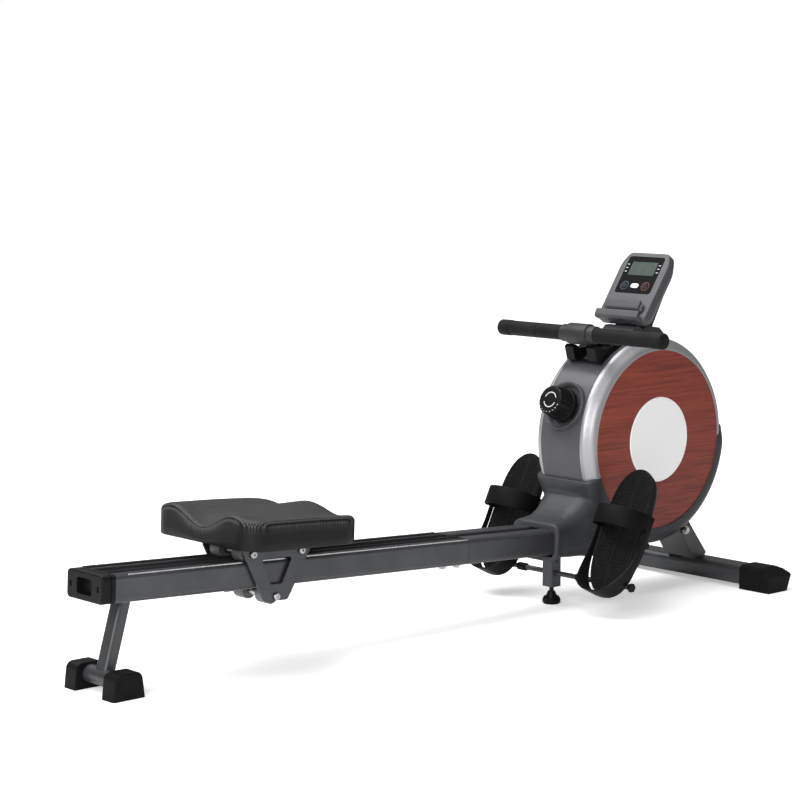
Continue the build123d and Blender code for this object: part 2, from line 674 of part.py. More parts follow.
def handle_cradle():
    # stepped bracket on the band with two horns that the handle's joint rests on
    base = extrude_xz([(455, 505), (452, 516), (480, 540), (511.5, 552), (511.5, 530)], -46, 46)
    body = base
    for side in (-1, 1):
        y0, y1 = sorted((side * 20, side * 44))
        arm = extrude_xz([(455, 514), (440, 520), (432, 548), (438, 553.4), (446, 551), (452, 545), (470, 545),
                          (511.5, 556), (500, 530)], y0, y1)
        body += arm
    cheek = box_between(484, 511.5, -30, -20, 520, 562)
    body += cheek + mirror_y(cheek)
    body -= box_between(430, 478, -19, 19, 520, 570)
    body -= box_between(478, 520, -17, 17, 490, 575)
    body -= cyl_y(GUIDE_X, GUIDE_Z, 3.0, -60, 60)
    body -= cyl_y(HUB_X, HUB_Z, BAND_R + 0.1, -100, 100)
    return body


def console_stand():
    crown = extrude_xz([(512, 520), (512, 560), (548, 576), (560, 588), (600, 588), (640, 582), (676, 548),
                        (660, 520)], -44, 44)
    neck = extrude_xz([(588, 579), (636, 583), (682, 664), (652, 676)], -26, 26)
    body = crown + neck
    body -= box_between(511, 560, -30, 30, 500, 562)
    body -= cyl_y(HUB_X, HUB_Z, BAND_R + 0.1, -100, 100)
    frame = console_frame()
    room = extrude(frame * Pos(0, 99.9) * Rectangle(200, 200), amount=-CONSOLE_DEPTH - 0.1)
    room += extrude(frame * Pos(0, 99.9) * Rectangle(200, 200), amount=60)
    return body - room


def console_outline(grow):
    length = console_length()
    half = CONSOLE_HALF + grow
    top_half = half - 6
    return [(-half, -grow), (half, -grow), (half - 1, length * 0.82), (top_half - 8, length + grow),
            (-top_half + 8, length + grow), (-half + 1, length * 0.82)]


def console_housing():
    frame = console_frame()
    face = make_face(Polyline(*console_outline(0), close=True))
    back = make_face(Polyline(*console_outline(-9), close=True))
    body = extrude(frame * face, amount=-20)
    body += loft([frame.offset(-20) * face, frame.offset(-CONSOLE_DEPTH) * back])
    hollow = make_face(Polyline(*console_outline(-3), close=True))
    hollow_back = make_face(Polyline(*console_outline(-14), close=True))
    body -= extrude(frame.offset(-3) * hollow, amount=-17)
    body -= loft([frame.offset(-20) * hollow, frame.offset(-CONSOLE_DEPTH + 3) * hollow_back])
    body -= extrude(frame.offset(-3.5) * Pos(0, 116) * RectangleRounded(104, 94, 6), amount=5)
    for x in (-BUTTON_PITCH, 0, BUTTON_PITCH):
        width, height = button_size(x)
        body -= extrude(frame.offset(-4) * Pos(x, 88) * SlotOverall(width + 0.5, height + 0.5) if x == 0
                        else frame.offset(-4) * Pos(x, 88) * Circle(width / 2 + 0.25), amount=6)
    return body


def button_size(x):
    return (22.0, 11.0) if x == 0 else (14.0, 14.0)


def console_button(x):
    frame = console_frame()
    width, height = button_size(x)
    shape = SlotOverall(width, height) if x == 0 else Circle(width / 2)
    flange_shape = SlotOverall(width + 4, height + 4) if x == 0 else Circle(width / 2 + 2)
    cap = extrude(frame.offset(-5.5) * Pos(x, 88) * shape, amount=6.9)
    flange = extrude(frame.offset(-6.5) * Pos(x, 88) * flange_shape, amount=2)
    return cap + flange


def console_panel():
    frame = console_frame()
    panel = extrude(frame.offset(-3.4) * Pos(0, 116) * RectangleRounded(103.6, 93.6, 6), amount=3.8)
    panel -= extrude(frame.offset(-3.6) * Pos(0, 133) * Rectangle(76.5, 35.5), amount=6)
    for x in (-BUTTON_PITCH, 0, BUTTON_PITCH):
        width, height = button_size(x)
        shape = SlotOverall(width + 0.5, height + 0.5) if x == 0 else Circle(width / 2 + 0.25)
        panel -= extrude(frame.offset(-4) * Pos(x, 88) * shape, amount=6)
    return panel


def lcd_screen():
    frame = console_frame()
    return extrude(frame.offset(-3.4) * Pos(0, 133) * Rectangle(76, 35), amount=2.6)


def circuit_board():
    frame = console_frame()
    board = extrude(frame.offset(-13) * Pos(0, 100) * Rectangle(96, 92), amount=1.6)
    return board + extrude(frame.offset(-11.4) * Pos(0, 133) * Rectangle(60, 24), amount=3)


def phone_ledge():
    # lower shelf with an upturned lip, and a narrower clip above it
    frame = console_frame()
    profile = [(0.1, 4), (15, 4), (15, 16), (11.5, 16), (11.5, 9), (0.1, 9)]
    shelf = ledge_bar(profile, CONSOLE_HALF - 2)
    clip = ledge_bar([(0.1, 24), (9, 24), (9, 42), (6, 42), (6, 28), (0.1, 28)], CONSOLE_HALF - 16)
    web = ledge_bar([(0.1, 8.5), (2.6, 8.5), (2.6, 24.5), (0.1, 24.5)], CONSOLE_HALF - 18)
    return shelf + clip + web


def ledge_bar(profile, half):
    # profile given as distance out from the console's face and height up it
    frame = console_frame()
    points = []
    for out, up in profile:
        at = frame.origin + frame.z_dir * out + frame.y_dir * up
        points.append((at.X, at.Z))
    return extrude_xz(points, -half, half)


# ---- seat ----
def seat_cushion():
    pad = Pos(0, 0, SEAT_BASE_H + SEAT_THICK / 2) * Box(SEAT_LENGTH, SEAT_HALF * 2, SEAT_THICK)
    pad = fillet(pad.edges().filter_by(Axis.Z), SEAT_CORNER)
    pad = fillet(pad.faces().sort_by(Axis.Z)[-1].edges(), 10)
    dip = Pos(0, 0, SEAT_BASE_H + SEAT_THICK + 118) * Rot(0, 90, 0) * Cylinder(128, 400)
    return SEAT * (pad - dip)


def seat_base_plate():
    plate = Pos(0, 0, SEAT_BASE_H - 1.5) * Box(170, PLATE_Y * 2 - PLATE_T - 0.2, 2.8)
    return SEAT * fillet(plate.edges().filter_by(Axis.Z), 6)


def seat_side_plate():
    line = [(-82, SEAT_BASE_H - 0.1), (-82, 17), (-36, -66), (-28, -79), (28, -79), (36, -66), (80, 15),
            (80, SEAT_BASE_H - 0.1)]
    plate = extrude_xz(line, -PLATE_Y - PLATE_T / 2, -PLATE_Y + PLATE_T / 2)
    lower = plate.edges().filter_by(Axis.Y).sort_by(Axis.Z)[0:4]
    plate = fillet(lower, 7)
    window = extrude_xz([(-37, 3), (-14, -47), (14, -47), (37, 3)], -PLATE_Y - 5, -PLATE_Y + 5)
    window = fillet(window.edges().filter_by(Axis.Y), 4)
    plate -= window
    for x, h in axle_places():
        plate -= cyl_y(x, h, AXLE_R + 0.02, -PLATE_Y - 5, -PLATE_Y + 5)
    return SEAT * plate


def axle_places():
    upper = -TRACK_DEPTH + ROLLER_R + FIT
    return [(-AXLE_SPREAD, upper), (AXLE_SPREAD, upper), (0.0, LOWER_AXLE_H)]


def seat_axles():
    rods = []
    for x, h in axle_places():
        rods.append(SEAT * cyl_y(x, h, AXLE_R, -PLATE_Y - 3, PLATE_Y + 3))
    return group(*rods)


def seat_axle_nuts():
    nuts = []
    for x, h in axle_places():
        for side in (-1, 1):
            y0, y1 = sorted((side * (PLATE_Y + 3.02), side * (PLATE_Y + 6.5)))
            head = cyl_y(x, h, 7.5, y0, y1)
            rim = head.edges().filter_by(GeomType.CIRCLE).sort_by(Axis.Y)[-1 if side > 0 else 0]
            head = fillet(rim, 2)
            socket = hex_y(x, h, 5, y1 - 1.8 if side > 0 else y0, y1 if side > 0 else y0 + 1.8)
            nuts.append(SEAT * (head - socket))
    return group(*nuts)


def seat_axle_spacers():
    sleeves = []
    for x, h in axle_places():
        spans = ((-PLATE_Y + PLATE_T / 2, -ROLLER_Y - ROLLER_W / 2 - FIT), (-ROLLER_Y + ROLLER_W / 2 + FIT,
                 ROLLER_Y - ROLLER_W / 2 - FIT), (ROLLER_Y + ROLLER_W / 2 + FIT, PLATE_Y - PLATE_T / 2))
        for y0, y1 in spans:
            sleeves.append(SEAT * ring_y(x, h, AXLE_R, AXLE_R + 2, y0, y1))
    return group(*sleeves)


def roller_pair(index):
    x, h = axle_places()[index]
    rollers = []
    for side in (-1, 1):
        y = side * ROLLER_Y
        wheel = ring_y(x, h, AXLE_R + RUN, ROLLER_R, y - ROLLER_W / 2, y + ROLLER_W / 2)
        for end in (-1, 1):
            y0, y1 = sorted((y + end * (ROLLER_W / 2 - 2), y + end * (ROLLER_W / 2 + 1)))
            wheel -= ring_y(x, h, 9, 13.5, y0, y1)
        rollers.append(SEAT * wheel)
    return group(*rollers)


# ---- pedals, built for the right-hand side (negative Y) ----
PEDAL = Pos(PEDAL_HEEL_X, -PEDAL_Y, PEDAL_HEEL_Z) * Rot(0, -PEDAL_ANGLE, 0)   # x up the tread, z out of it
TREAD_T = 5.0
BASE_DEPTH = 24.0
STRAP_HALF = PEDAL_HALF + 7.5


def pedal_face(shrink):
    # sole outline: x up the tread, y across; heel and toe ends rounded, slightly waisted
    half = PEDAL_HALF - shrink
    outline = Spline((shrink, 0), (22, half - 11), (70, half), (140, half - 1), (215, half + 1),
                     (262, half - 21), (PEDAL_LENGTH - shrink, 0), tangents=[(0, 1), (0, -1)])
    lower = mirror(outline, about=Plane.XZ)
    face = make_face(outline.edges() + lower.edges())
    return face & Pos(PEDAL_LENGTH / 2, 0) * Rectangle(PEDAL_LENGTH + 20, 2 * (half + 1))


def pedal_plate():
    plate = Pos(0, 0, -TREAD_T) * extrude(pedal_face(0), amount=TREAD_T)
    for x in range(50, 240, 16):
        for y in (-30, -12, 12, 30):
            plate += Pos(x, y, 0.4) * Box(10, 6, 1.4)
    return PEDAL * plate


def pedal_base():
    # tapering tray under the tread; a bored boss holds the rod and a notch sits on the rest bar
    tray = Pos(0, 0, -BASE_DEPTH) * extrude(pedal_face(4), amount=BASE_DEPTH - TREAD_T)
    tray -= Pos(0, 0, -BASE_DEPTH - 1) * extrude(pedal_face(8), amount=BASE_DEPTH - TREAD_T - 2)
    boss = Pos(28, 0, -16) * Box(24, 74, 18)
    saddle = Pos(122, 0, -15) * Box(30, 96, 16)
    rib = Pos(150, 0, -13) * Box(230, 4, 14)
    body = PEDAL * (tray + boss + saddle + rib)
    body -= cyl_y(ROD_X, ROD_Z, ROD_R + RUN, -400, 0)
    body -= cyl_y(REST_X, REST_Z, REST_R + FIT, -400, 0)
    at = PEDAL.inverse() * Pos(REST_X, 0, REST_Z)
    notch = Pos(at.position.X, 0, at.position.Z - 20) * Box(2 * REST_R + 4, 300, 40)
    return body - PEDAL * notch


def heel_cup():
    # a low wall round the heel, standing out of the tread
    ring = Pos(62, 0, 20.1) * (Cylinder(60, 40) - Cylinder(55.5, 42))
    ring = ring & (Pos(10, 0, 20.1) * Box(90, 200, 60))
    slope = Pos(62, 0, 46) * Rot(0, 22, 0) * Box(400, 300, 26)
    return PEDAL * (ring - slope)


def foot_strap():
    # a stiff band over the instep, bowed out from the tread between the pedal's two edges
    half = STRAP_HALF
    arch = Ellipse(half, 62) - Ellipse(half - 3.5, 58.5)
    arch = arch & Pos(0, 50) * Rectangle(300, 100)
    legs = Pos(half - 1.75, -8) * Rectangle(2.5, 17) + Pos(-half + 1.75, -8) * Rectangle(2.5, 17)
    band = extrude(Plane.YZ * (arch + legs), amount=20, both=True)
    return PEDAL * Pos(165, 0, 0) * band


def strap_pegs():
    pegs = []
    for side in (-1, 1):
        for x in (155, 175):
            pegs.append(PEDAL * Pos(x, side * (STRAP_HALF + 1.2), -9) * Rot(90, 0, 0) * Cylinder(3, 2.4))
    return group(*pegs)


def pedal_rod():
    return cyl_y(ROD_X, ROD_Z, ROD_R, -232, 232)


def pedal_rod_nuts():
    nuts = []
    for side in (-1, 1):
        y0, y1 = sorted((side * 227, side * 233.5))
        nuts.append(hex_y(ROD_X, ROD_Z, 17, y0, y1) - cyl_y(ROD_X, ROD_Z, ROD_R, side * 200, side * 232))
    return group(*nuts)


def pedal_rod_sleeves():
    sleeves = []
    for side in (-1, 1):
        y0, y1 = sorted((side * 76, side * 98))
        sleeves.append(ring_y(ROD_X, ROD_Z, ROD_R, 8.5, y0, y1))
    return group(*sleeves)


def pedal_rest_bar():
    return cyl_y(REST_X, REST_Z, REST_R, -226, 226)


def pedal_rest_caps():
    caps = []
    for side in (-1, 1):
        y0, y1 = sorted((side * 226, side * 230))
        caps.append(cyl_y(REST_X, REST_Z, 7, y0, y1))
    return group(*caps)


def both_sides(shape):
    return group(shape, mirror_y(shape))


def build_all():
    parts = {
        "slide_rail": slide_rail(),
        "rail_end_cap": rail_end_cap(),
        "front_beam": group(front_beam(), rail_joint_insert()),
        "frame_bolts": group(rail_end_cap_screws(), rail_joint_bolts(), front_bracket_bolts(),
                             middle_leg_bolt(), both_sides(transport_wheel_pin())),
        "seat_stops": seat_stops(),
        "rear_leg": group(rear_post(), rear_stabilizer()),
        "rear_foot_caps": both_sides(rear_foot_cap()),
        "middle_leg": middle_leg(),
        "leveling_foot": leveling_foot(),
        "front_stabilizer": front_stabilizer(),
        "front_foot_caps": both_sides(front_foot_cap()),
        "transport_wheel_right": transport_wheel(),
        "transport_wheel_left": mirror_y(transport_wheel()),
        "front_bracket": front_bracket(),
        "inner_frame": inner_frame(),
        "flywheel": flywheel(),
        "drive_pulley": drive_pulley(),
        "housing_axles": group(flywheel_axle(), spool_axle(), magnet_pivot_pin(), strap_guide_pin()),
        "strap_spool": group(strap_spool(), strap_winding()),
        "recoil_spring": group(recoil_spring_case(), recoil_spring()),
        "drive_belt": drive_belt(),
        "magnet_yoke": group(magnet_bracket(), magnets()),
        "tension_cable": tension_cable(),
        "speed_sensor": speed_sensor(),
        "centre_band": centre_band(),
        "side_covers": both_sides(side_cover()),
        "wood_panels": both_sides(wood_panel()),
        "badges": both_sides(badge()),
        "lower_shroud": both_sides(lower_shroud()),
        "knob_cup": knob_cup(),
        "resistance_knob": resistance_knob(),
        "handle_bar": handle_bar(),
        "handle_grips": group(both_sides(handle_grip()), both_sides(handle_end_cap())),
        "handle_joint": handle_joint(),
        "strap_guide_roller": strap_guide_roller(),
        "pull_strap": pull_strap(),
        "handle_cradle": handle_cradle(),
        "console_stand": console_stand(),
        "console_housing": console_housing(),
        "console_panel": console_panel(),
        "lcd_screen": lcd_screen(),
        "circuit_board": circuit_board(),
        "phone_ledge": phone_ledge(),
        "seat_cushion": seat_cushion(),
        "seat_carriage": group(seat_base_plate(), both_sides(seat_side_plate())),
        "seat_axles": group(seat_axles(), seat_axle_nuts(), seat_axle_spacers()),
        "pedal_rods": group(pedal_rod(), pedal_rest_bar()),
        "pedal_rod_fittings": group(pedal_rod_nuts(), pedal_rod_sleeves(), pedal_rest_caps()),
    }
    for name, x in (("left", -BUTTON_PITCH), ("centre", 0), ("right", BUTTON_PITCH)):
        parts[f"{name}_button"] = console_button(x)
    for index, name in enumerate(("rear", "front", "lower")):
        parts[f"{name}_rollers"] = roller_pair(index)
    for name, shape in (("pedal_plate", pedal_plate()), ("pedal_base", group(pedal_base(), heel_cup())),
                        ("foot_strap", group(foot_strap(), strap_pegs()))):
        parts[f"{name}_right"] = shape
        parts[f"{name}_left"] = mirror_y(shape)
    return parts


for part_name, part_shape in build_all().items():
    export_step(part_shape, f"parts/{part_name}.step")
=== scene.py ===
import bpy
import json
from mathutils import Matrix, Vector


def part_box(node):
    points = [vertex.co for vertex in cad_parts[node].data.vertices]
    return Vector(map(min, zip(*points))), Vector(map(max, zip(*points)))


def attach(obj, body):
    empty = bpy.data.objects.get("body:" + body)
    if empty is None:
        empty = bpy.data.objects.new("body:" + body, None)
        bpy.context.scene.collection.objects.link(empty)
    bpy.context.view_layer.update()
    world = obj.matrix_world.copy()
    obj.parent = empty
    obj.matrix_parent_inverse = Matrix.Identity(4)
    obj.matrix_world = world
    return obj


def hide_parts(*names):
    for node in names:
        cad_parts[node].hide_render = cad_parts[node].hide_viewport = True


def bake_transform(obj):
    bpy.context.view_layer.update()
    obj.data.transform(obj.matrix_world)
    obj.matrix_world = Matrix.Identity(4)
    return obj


bl_info = {
    "name": "Rowing machine looks",
    "version": (1, 0, 0),
    "blender": (4, 5, 0),
    "location": "View3D > Sidebar > Rower",
    "description": "Builds the visible surfaces and finishes of a magnetic rowing machine",
    "category": "Object",
}

import json
import math

import bmesh
import bpy
import mathutils
import numpy as np

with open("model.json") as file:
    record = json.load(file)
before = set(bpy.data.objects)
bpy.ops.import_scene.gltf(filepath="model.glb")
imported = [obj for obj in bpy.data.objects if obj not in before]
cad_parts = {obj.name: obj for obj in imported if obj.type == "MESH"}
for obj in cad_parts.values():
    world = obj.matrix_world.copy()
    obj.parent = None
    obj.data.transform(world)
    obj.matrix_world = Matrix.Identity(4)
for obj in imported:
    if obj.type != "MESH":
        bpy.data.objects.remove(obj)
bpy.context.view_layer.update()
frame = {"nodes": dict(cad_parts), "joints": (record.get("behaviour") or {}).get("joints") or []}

MM = 0.001
TAU = 2 * math.pi
JOINTS = {joint["name"]: joint for joint in frame["joints"]}


# ---------------------------------------------------------------- sizes and colours
def linear(hex_colour):
    """sRGB hex to linear RGBA."""
    values = [int(hex_colour[i:i + 2], 16) / 255 for i in (1, 3, 5)]
    return tuple(v / 12.92 if v <= 0.04045 else ((v + 0.055) / 1.055) ** 2.4 for v in values) + (1.0,)


def colour(name, description, hex_colour):
    """A colour property; the hex is how it looks in sRGB."""
    return bpy.props.FloatVectorProperty(name=name, description=description, subtype="COLOR", size=3,
                                         min=0.0, max=1.0, default=linear(hex_colour)[:3])


def length(name, description, millimetres):
    """A size property, kept in metres."""
    return bpy.props.FloatProperty(name=name, description=description, default=millimetres * 0.001,
                                   min=0.0, unit="LENGTH", subtype="DISTANCE", precision=4)


class RowerColours(bpy.types.PropertyGroup):
    steel: colour("Steel", "Powder coat on the rail, the legs and the brackets", "#48494b")
    shroud: colour("Shroud", "Satin plastic of the lower shroud", "#3a3b3d")
    band: colour("Band", "Satin plastic of the band round the housing", "#4b4b4e")
    console: colour("Console", "Plastic of the console housing", "#4c4c4f")
    black: colour("Black plastic", "Knob, pedals, end caps", "#121213")
    silver: colour("Silver", "Lacquer on the two side rings", "#a6a6a9")
    roller: colour("Rollers", "Cast polyurethane tyres", "#737375")
    joint: colour("Handle joint", "Moulding in the middle of the handle", "#29292a")


class RowerSeat(bpy.types.PropertyGroup):
    length: length("Length", "Along the rail", 272)
    width: length("Width", "Across the rail", 310)
    thickness: length("Thickness", "Underside to rim", 57)
    corner: length("Corner", "Radius of the corners seen from above", 46)
    rim: length("Rim", "Radius that rounds the top edge", 11)
    scoop: length("Scoop", "Depth of the hollow in the rear edge", 23)
    groove: length("Leg groove", "Depth of each leg groove at the front", 11)


class RowerHandle(bpy.types.PropertyGroup):
    half: length("Half length", "Middle to one end", 240)
    grip: length("Grip radius", "Foam sleeve", 16.6)
    end: length("End radius", "Cap section at each end", 17.4)
    joint: length("Joint radius", "Middle moulding", 23)


class RowerKnob(bpy.types.PropertyGroup):
    radius: length("Radius", "At the skirt", 37.5)
    height: length("Height", "Skirt to top face", 48)
    flute: length("Flute depth", "Finger grooves round the grip", 2.4)


class RowerShroud(bpy.types.PropertyGroup):
    outer: length("Outer radius", "Hub to the shroud's outside", 232)
    inner: length("Inner radius", "Hub to the wood", 195.6)
    half: length("Half width", "Middle to the flat side", 86)
    voxel: length("Grain", "Size of the cells that the blend is worked out in", 3.2)


class RowerPedal(bpy.types.PropertyGroup):
    length: length("Length", "Heel to toe", 280)
    width: length("Width", "Across the sole", 116)
    tread: length("Tread", "Thickness of the sole plate", 5)
    stud: length("Stud pitch", "Spacing of the small squares moulded in the tread", 8)
    strap: length("Strap width", "Along the foot", 42)


class RowerStage(bpy.types.PropertyGroup):
    floor: length("Floor", "Side of the square floor", 60000)
    key: bpy.props.FloatProperty(name="Key", description="Power of the big soft light", default=175.0,
                                 min=0.0, unit="POWER")
    fill: bpy.props.FloatProperty(name="Fill", description="Power of the side light", default=120.0,
                                  min=0.0, unit="POWER")
    world: bpy.props.FloatProperty(name="Overhead", description="Brightness of the surround overhead",
                                   default=0.38, min=0.0)
    horizon: bpy.props.FloatProperty(name="Horizon", description="Brightness of the surround at the horizon",
                                     default=0.16, min=0.0)


GROUPS = {"rower_colours": RowerColours, "rower_seat": RowerSeat, "rower_handle": RowerHandle,
          "rower_knob": RowerKnob, "rower_shroud": RowerShroud, "rower_pedal": RowerPedal,
          "rower_stage": RowerStage}


def settings(name):
    """The property group of that name on the scene."""
    return getattr(bpy.context.scene, "rower_" + name)


def shade(name, gain):
    """A colour property made darker or lighter, as RGBA."""
    return tuple(min(1.0, v * gain) for v in getattr(settings("colours"), name)) + (1.0,)


# ---------------------------------------------------------------- places read from the frame
def middle(node):
    """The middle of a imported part's box, in metres."""
    low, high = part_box(node)
    return (np.array(low) + np.array(high)) / 2


def axes_from(out, across=(0, 1, 0)):
    """Three unit vectors as columns: across, the one square to both, and out."""
    out = np.array(out, float) / np.linalg.norm(out)
    side = np.array(across, float)
    side = side - out * (side @ out)
    side /= np.linalg.norm(side)
    return np.stack([side, np.cross(out, side), out], axis=1)


RAIL_DIR = np.array(JOINTS["seat_slide"]["axis"], float)
RAIL_UP = np.array([-RAIL_DIR[2], 0.0, RAIL_DIR[0]])
HUB = middle("badges")
KNOB_AXIS = np.array(JOINTS["resistance_turn"]["axis"], float)
KNOB_OUT = KNOB_AXIS * (1.0 if KNOB_AXIS[0] < 0 else -1.0)
KNOB_POS = np.array(JOINTS["resistance_turn"]["pos_m"], float)
HANDLE = middle("handle_bar")
PEDAL_PITCH = math.radians(63.4)
CONSOLE_OUT = -np.array(JOINTS["centre_button_press"]["axis"], float)
CONSOLE_UP = np.array([-CONSOLE_OUT[2], 0.0, CONSOLE_OUT[0]]) * -1.0


# ---------------------------------------------------------------- mesh helpers
def mesh_object(name, points, faces, smooth=True):
    """A mesh object from points in metres and faces as index rows."""
    mesh = bpy.data.meshes.new(name)
    mesh.from_pydata(np.asarray(points, float).reshape(-1, 3).tolist(), [], [list(f) for f in faces])
    mesh.update()
    if smooth:
        mesh.polygons.foreach_set("use_smooth", np.ones(len(mesh.polygons), bool))
    piece = bpy.data.objects.new(name, mesh)
    bpy.context.scene.collection.objects.link(piece)
    return piece


def grid_faces(rows, columns, close_rows=False, close_columns=False, start=0):
    """Quads of a grid of points, row by row; a closed direction joins its last line to its first."""
    r = np.arange(rows if close_rows else rows - 1)
    c = np.arange(columns if close_columns else columns - 1)
    rr, cc = np.meshgrid(r, c, indexing="ij")
    r2 = (rr + 1) % rows
    c2 = (cc + 1) % columns
    quads = np.stack([rr * columns + cc, rr * columns + c2, r2 * columns + c2, r2 * columns + cc], axis=-1)
    return (quads.reshape(-1, 4) + start).tolist()


def closed_loft(name, rings, smooth=True):
    """A skin through rings of equal length, each ring a closed loop, with the end rings capped by fans."""
    rings = np.asarray(rings, float)
    rows, columns = rings.shape[:2]
    points = np.concatenate([rings.reshape(-1, 3), rings[0].mean(0)[None], rings[-1].mean(0)[None]])
    faces = grid_faces(rows, columns, close_columns=True)
    first, last = rows * columns, rows * columns + 1
    loop = np.arange(columns)
    after = (loop + 1) % columns
    base = (rows - 1) * columns
    faces += np.stack([after, loop, np.full(columns, first)], axis=1).tolist()
    faces += np.stack([base + loop, base + after, np.full(columns, last)], axis=1).tolist()
    piece = mesh_object(name, points, faces, smooth)
    return face_outwards(piece)


def face_outwards(piece):
    """Merges doubled points and turns every face of a closed mesh outwards."""
    work = bmesh.new()
    work.from_mesh(piece.data)
    bmesh.ops.remove_doubles(work, verts=work.verts, dist=1e-6)
    bmesh.ops.recalc_face_normals(work, faces=work.faces)
    work.to_mesh(piece.data)
    work.free()
    return piece


def turned(name, profile, centre, axis, steps=72, ripple=None):
    """A surface of revolution: (distance along the axis, radius) pairs turned round the axis.

    ripple(angle, along) is added to the radius where given."""
    profile = np.asarray(profile, float)
    angle = np.arange(steps) * TAU / steps
    frame_axes = axes_from(axis, (0, 1, 0) if abs(axis[1]) < 0.9 else (1, 0, 0))
    along = profile[:, 0][:, None] * np.ones(steps)
    radius = profile[:, 1][:, None] * np.ones(steps)
    if ripple is not None:
        radius = radius + ripple(angle[None, :] * np.ones_like(radius), along)
    local = np.stack([radius * np.cos(angle), radius * np.sin(angle), along], axis=-1) * MM
    return closed_loft(name, local @ frame_axes.T + np.array(centre))


def rounded_rectangle(width, height, radius, per_corner=8):
    """Points of a rounded rectangle about the origin, anticlockwise, as quarter circles at the corners."""
    radius = min(radius, width / 2, height / 2)
    quarter = np.linspace(0, math.pi / 2, per_corner)
    corners = []
    for turn, (sx, sy) in enumerate(((1, 1), (-1, 1), (-1, -1), (1, -1))):
        a = quarter + turn * math.pi / 2
        corners.append(np.stack([sx * (width / 2 - radius) + radius * np.cos(a),
                                 sy * (height / 2 - radius) + radius * np.sin(a)], axis=1))
    return np.concatenate(corners)


def evenly(outline, count):
    """A closed outline given again by count points at equal steps along it."""
    closed = np.concatenate([outline, outline[:1]])
    along = np.concatenate([[0], np.cumsum(np.linalg.norm(np.diff(closed, axis=0), axis=1))])
    at = np.arange(count) * along[-1] / count
    return np.column_stack([np.interp(at, along, closed[:, 0]), np.interp(at, along, closed[:, 1])])


def sort_bevel(piece, width, segments=3, angle=35):
    """Rounds the sharp edges of a piece by width millimetres."""
    bevel = piece.modifiers.new("rounding", "BEVEL")
    bevel.width = width * MM
    bevel.segments = segments
    bevel.limit_method = "ANGLE"
    bevel.angle_limit = math.radians(angle)
    return piece


def apply_modifiers(piece):
    """Turns a piece's modifiers into plain mesh."""
    bpy.context.view_layer.update()
    graph = bpy.context.evaluated_depsgraph_get()
    done = bpy.data.meshes.new_from_object(piece.evaluated_get(graph))
    piece.modifiers.clear()
    piece.data = done
    return piece


def box_piece(name, low, high, radius=0.0):
    """A block between two corners in metres, its edges rounded by radius millimetres."""
    low, high = np.array(low, float), np.array(high, float)
    unit = np.array([[x, y, z] for x in (0, 1) for y in (0, 1) for z in (0, 1)])
    faces = [(0, 1, 3, 2), (4, 6, 7, 5), (0, 4, 5, 1), (2, 3, 7, 6), (0, 2, 6, 4), (1, 5, 7, 3)]
    piece = face_outwards(mesh_object(name, low + unit * (high - low), faces, smooth=False))
    if radius:
        sort_bevel(piece, radius)
        apply_modifiers(piece)
    return piece


def place(piece, material, body, replaces=()):
    """Gives a finished piece its material, its body and the nodes that it stands for."""
    piece.data.materials.clear()
    piece.data.materials.append(material)
    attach(piece, body)
    if replaces:
        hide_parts(*replaces)
    return piece


# ---------------------------------------------------------------- materials
def add(tree, kind, settings=None, **inputs):
    """Adds one shader node; settings are its properties, inputs are socket values or sockets to link."""
    node = tree.nodes.new("ShaderNode" + kind)
    for key, value in (settings or {}).items():
        setattr(node, key, value)
    for key, value in inputs.items():
        name = key.replace("_", " ")
        socket = node.inputs[int(key[1:])] if key[0] == "i" and key[1:].isdigit() else node.inputs[name]
        if isinstance(value, bpy.types.NodeSocket):
            tree.links.new(value, socket)
        else:
            socket.default_value = value
    return node


def new_material(name, **shader_values):
    """A material with a Principled shader whose constant values are set on its own sockets."""
    material = bpy.data.materials.new(name)
    material.use_nodes = True
    tree = material.node_tree
    shader = tree.nodes["Principled BSDF"]
    for key, value in shader_values.items():
        shader.inputs[key.replace("_", " ")].default_value = value
    place_node = add(tree, "TexCoord")
    return material, tree, shader, place_node.outputs["Object"]


def ramp(tree, factor, stops):
    """A colour ramp with (position, hex colour) stops."""
    node = add(tree, "ValToRGB", Fac=factor)
    elements = node.color_ramp.elements
    while len(elements) < len(stops):
        elements.new(0.5)
    for element, (position, tone) in zip(elements, stops):
        element.position = position
        element.color = linear(tone) if isinstance(tone, str) else tone
    return node.outputs["Color"]


def bumped(tree, shader, height, distance_mm, strength=1.0):
    """Raises the surface by a height pattern, distance_mm deep."""
    bump = add(tree, "Bump", Strength=strength, Distance=distance_mm * MM, Height=height)
    tree.links.new(bump.outputs["Normal"], shader.inputs["Normal"])


def noise(tree, where, size_mm, detail=3.0, roughness=0.5):
    """A noise pattern whose largest blotches are size_mm across."""
    return add(tree, "TexNoise", Vector=where, Scale=1 / (size_mm * MM), Detail=detail,
               Roughness=roughness).outputs["Fac"]


def spread(tree, value, low, high):
    """Maps 0..1 on to low..high."""
    return add(tree, "MapRange", Value=value, To_Min=low, To_Max=high).outputs["Result"]


MATERIALS = {}


def material(maker):
    """Each finish is made once and shared by the pieces that have it."""
    if maker.__name__ not in MATERIALS:
        MATERIALS[maker.__name__] = maker()
    return MATERIALS[maker.__name__]


def powder_coated_steel():
    """Powder coat baked on steel: a faint orange peel that breaks up its highlights."""
    m, tree, shader, where = new_material("powder_coated_steel", Metallic=0.55, Specular_IOR_Level=0.5)
    tint = noise(tree, where, 60, 2.0)
    coat = ramp(tree, tint, [(0.3, shade("steel", 0.88)), (0.7, shade("steel", 1.12))])
    tree.links.new(coat, shader.inputs["Base Color"])
    tree.links.new(spread(tree, noise(tree, where, 8, 4.0), 0.3, 0.44), shader.inputs["Roughness"])
    bumped(tree, shader, noise(tree, where, 1.6, 2.0), 0.05, 0.6)
    return m


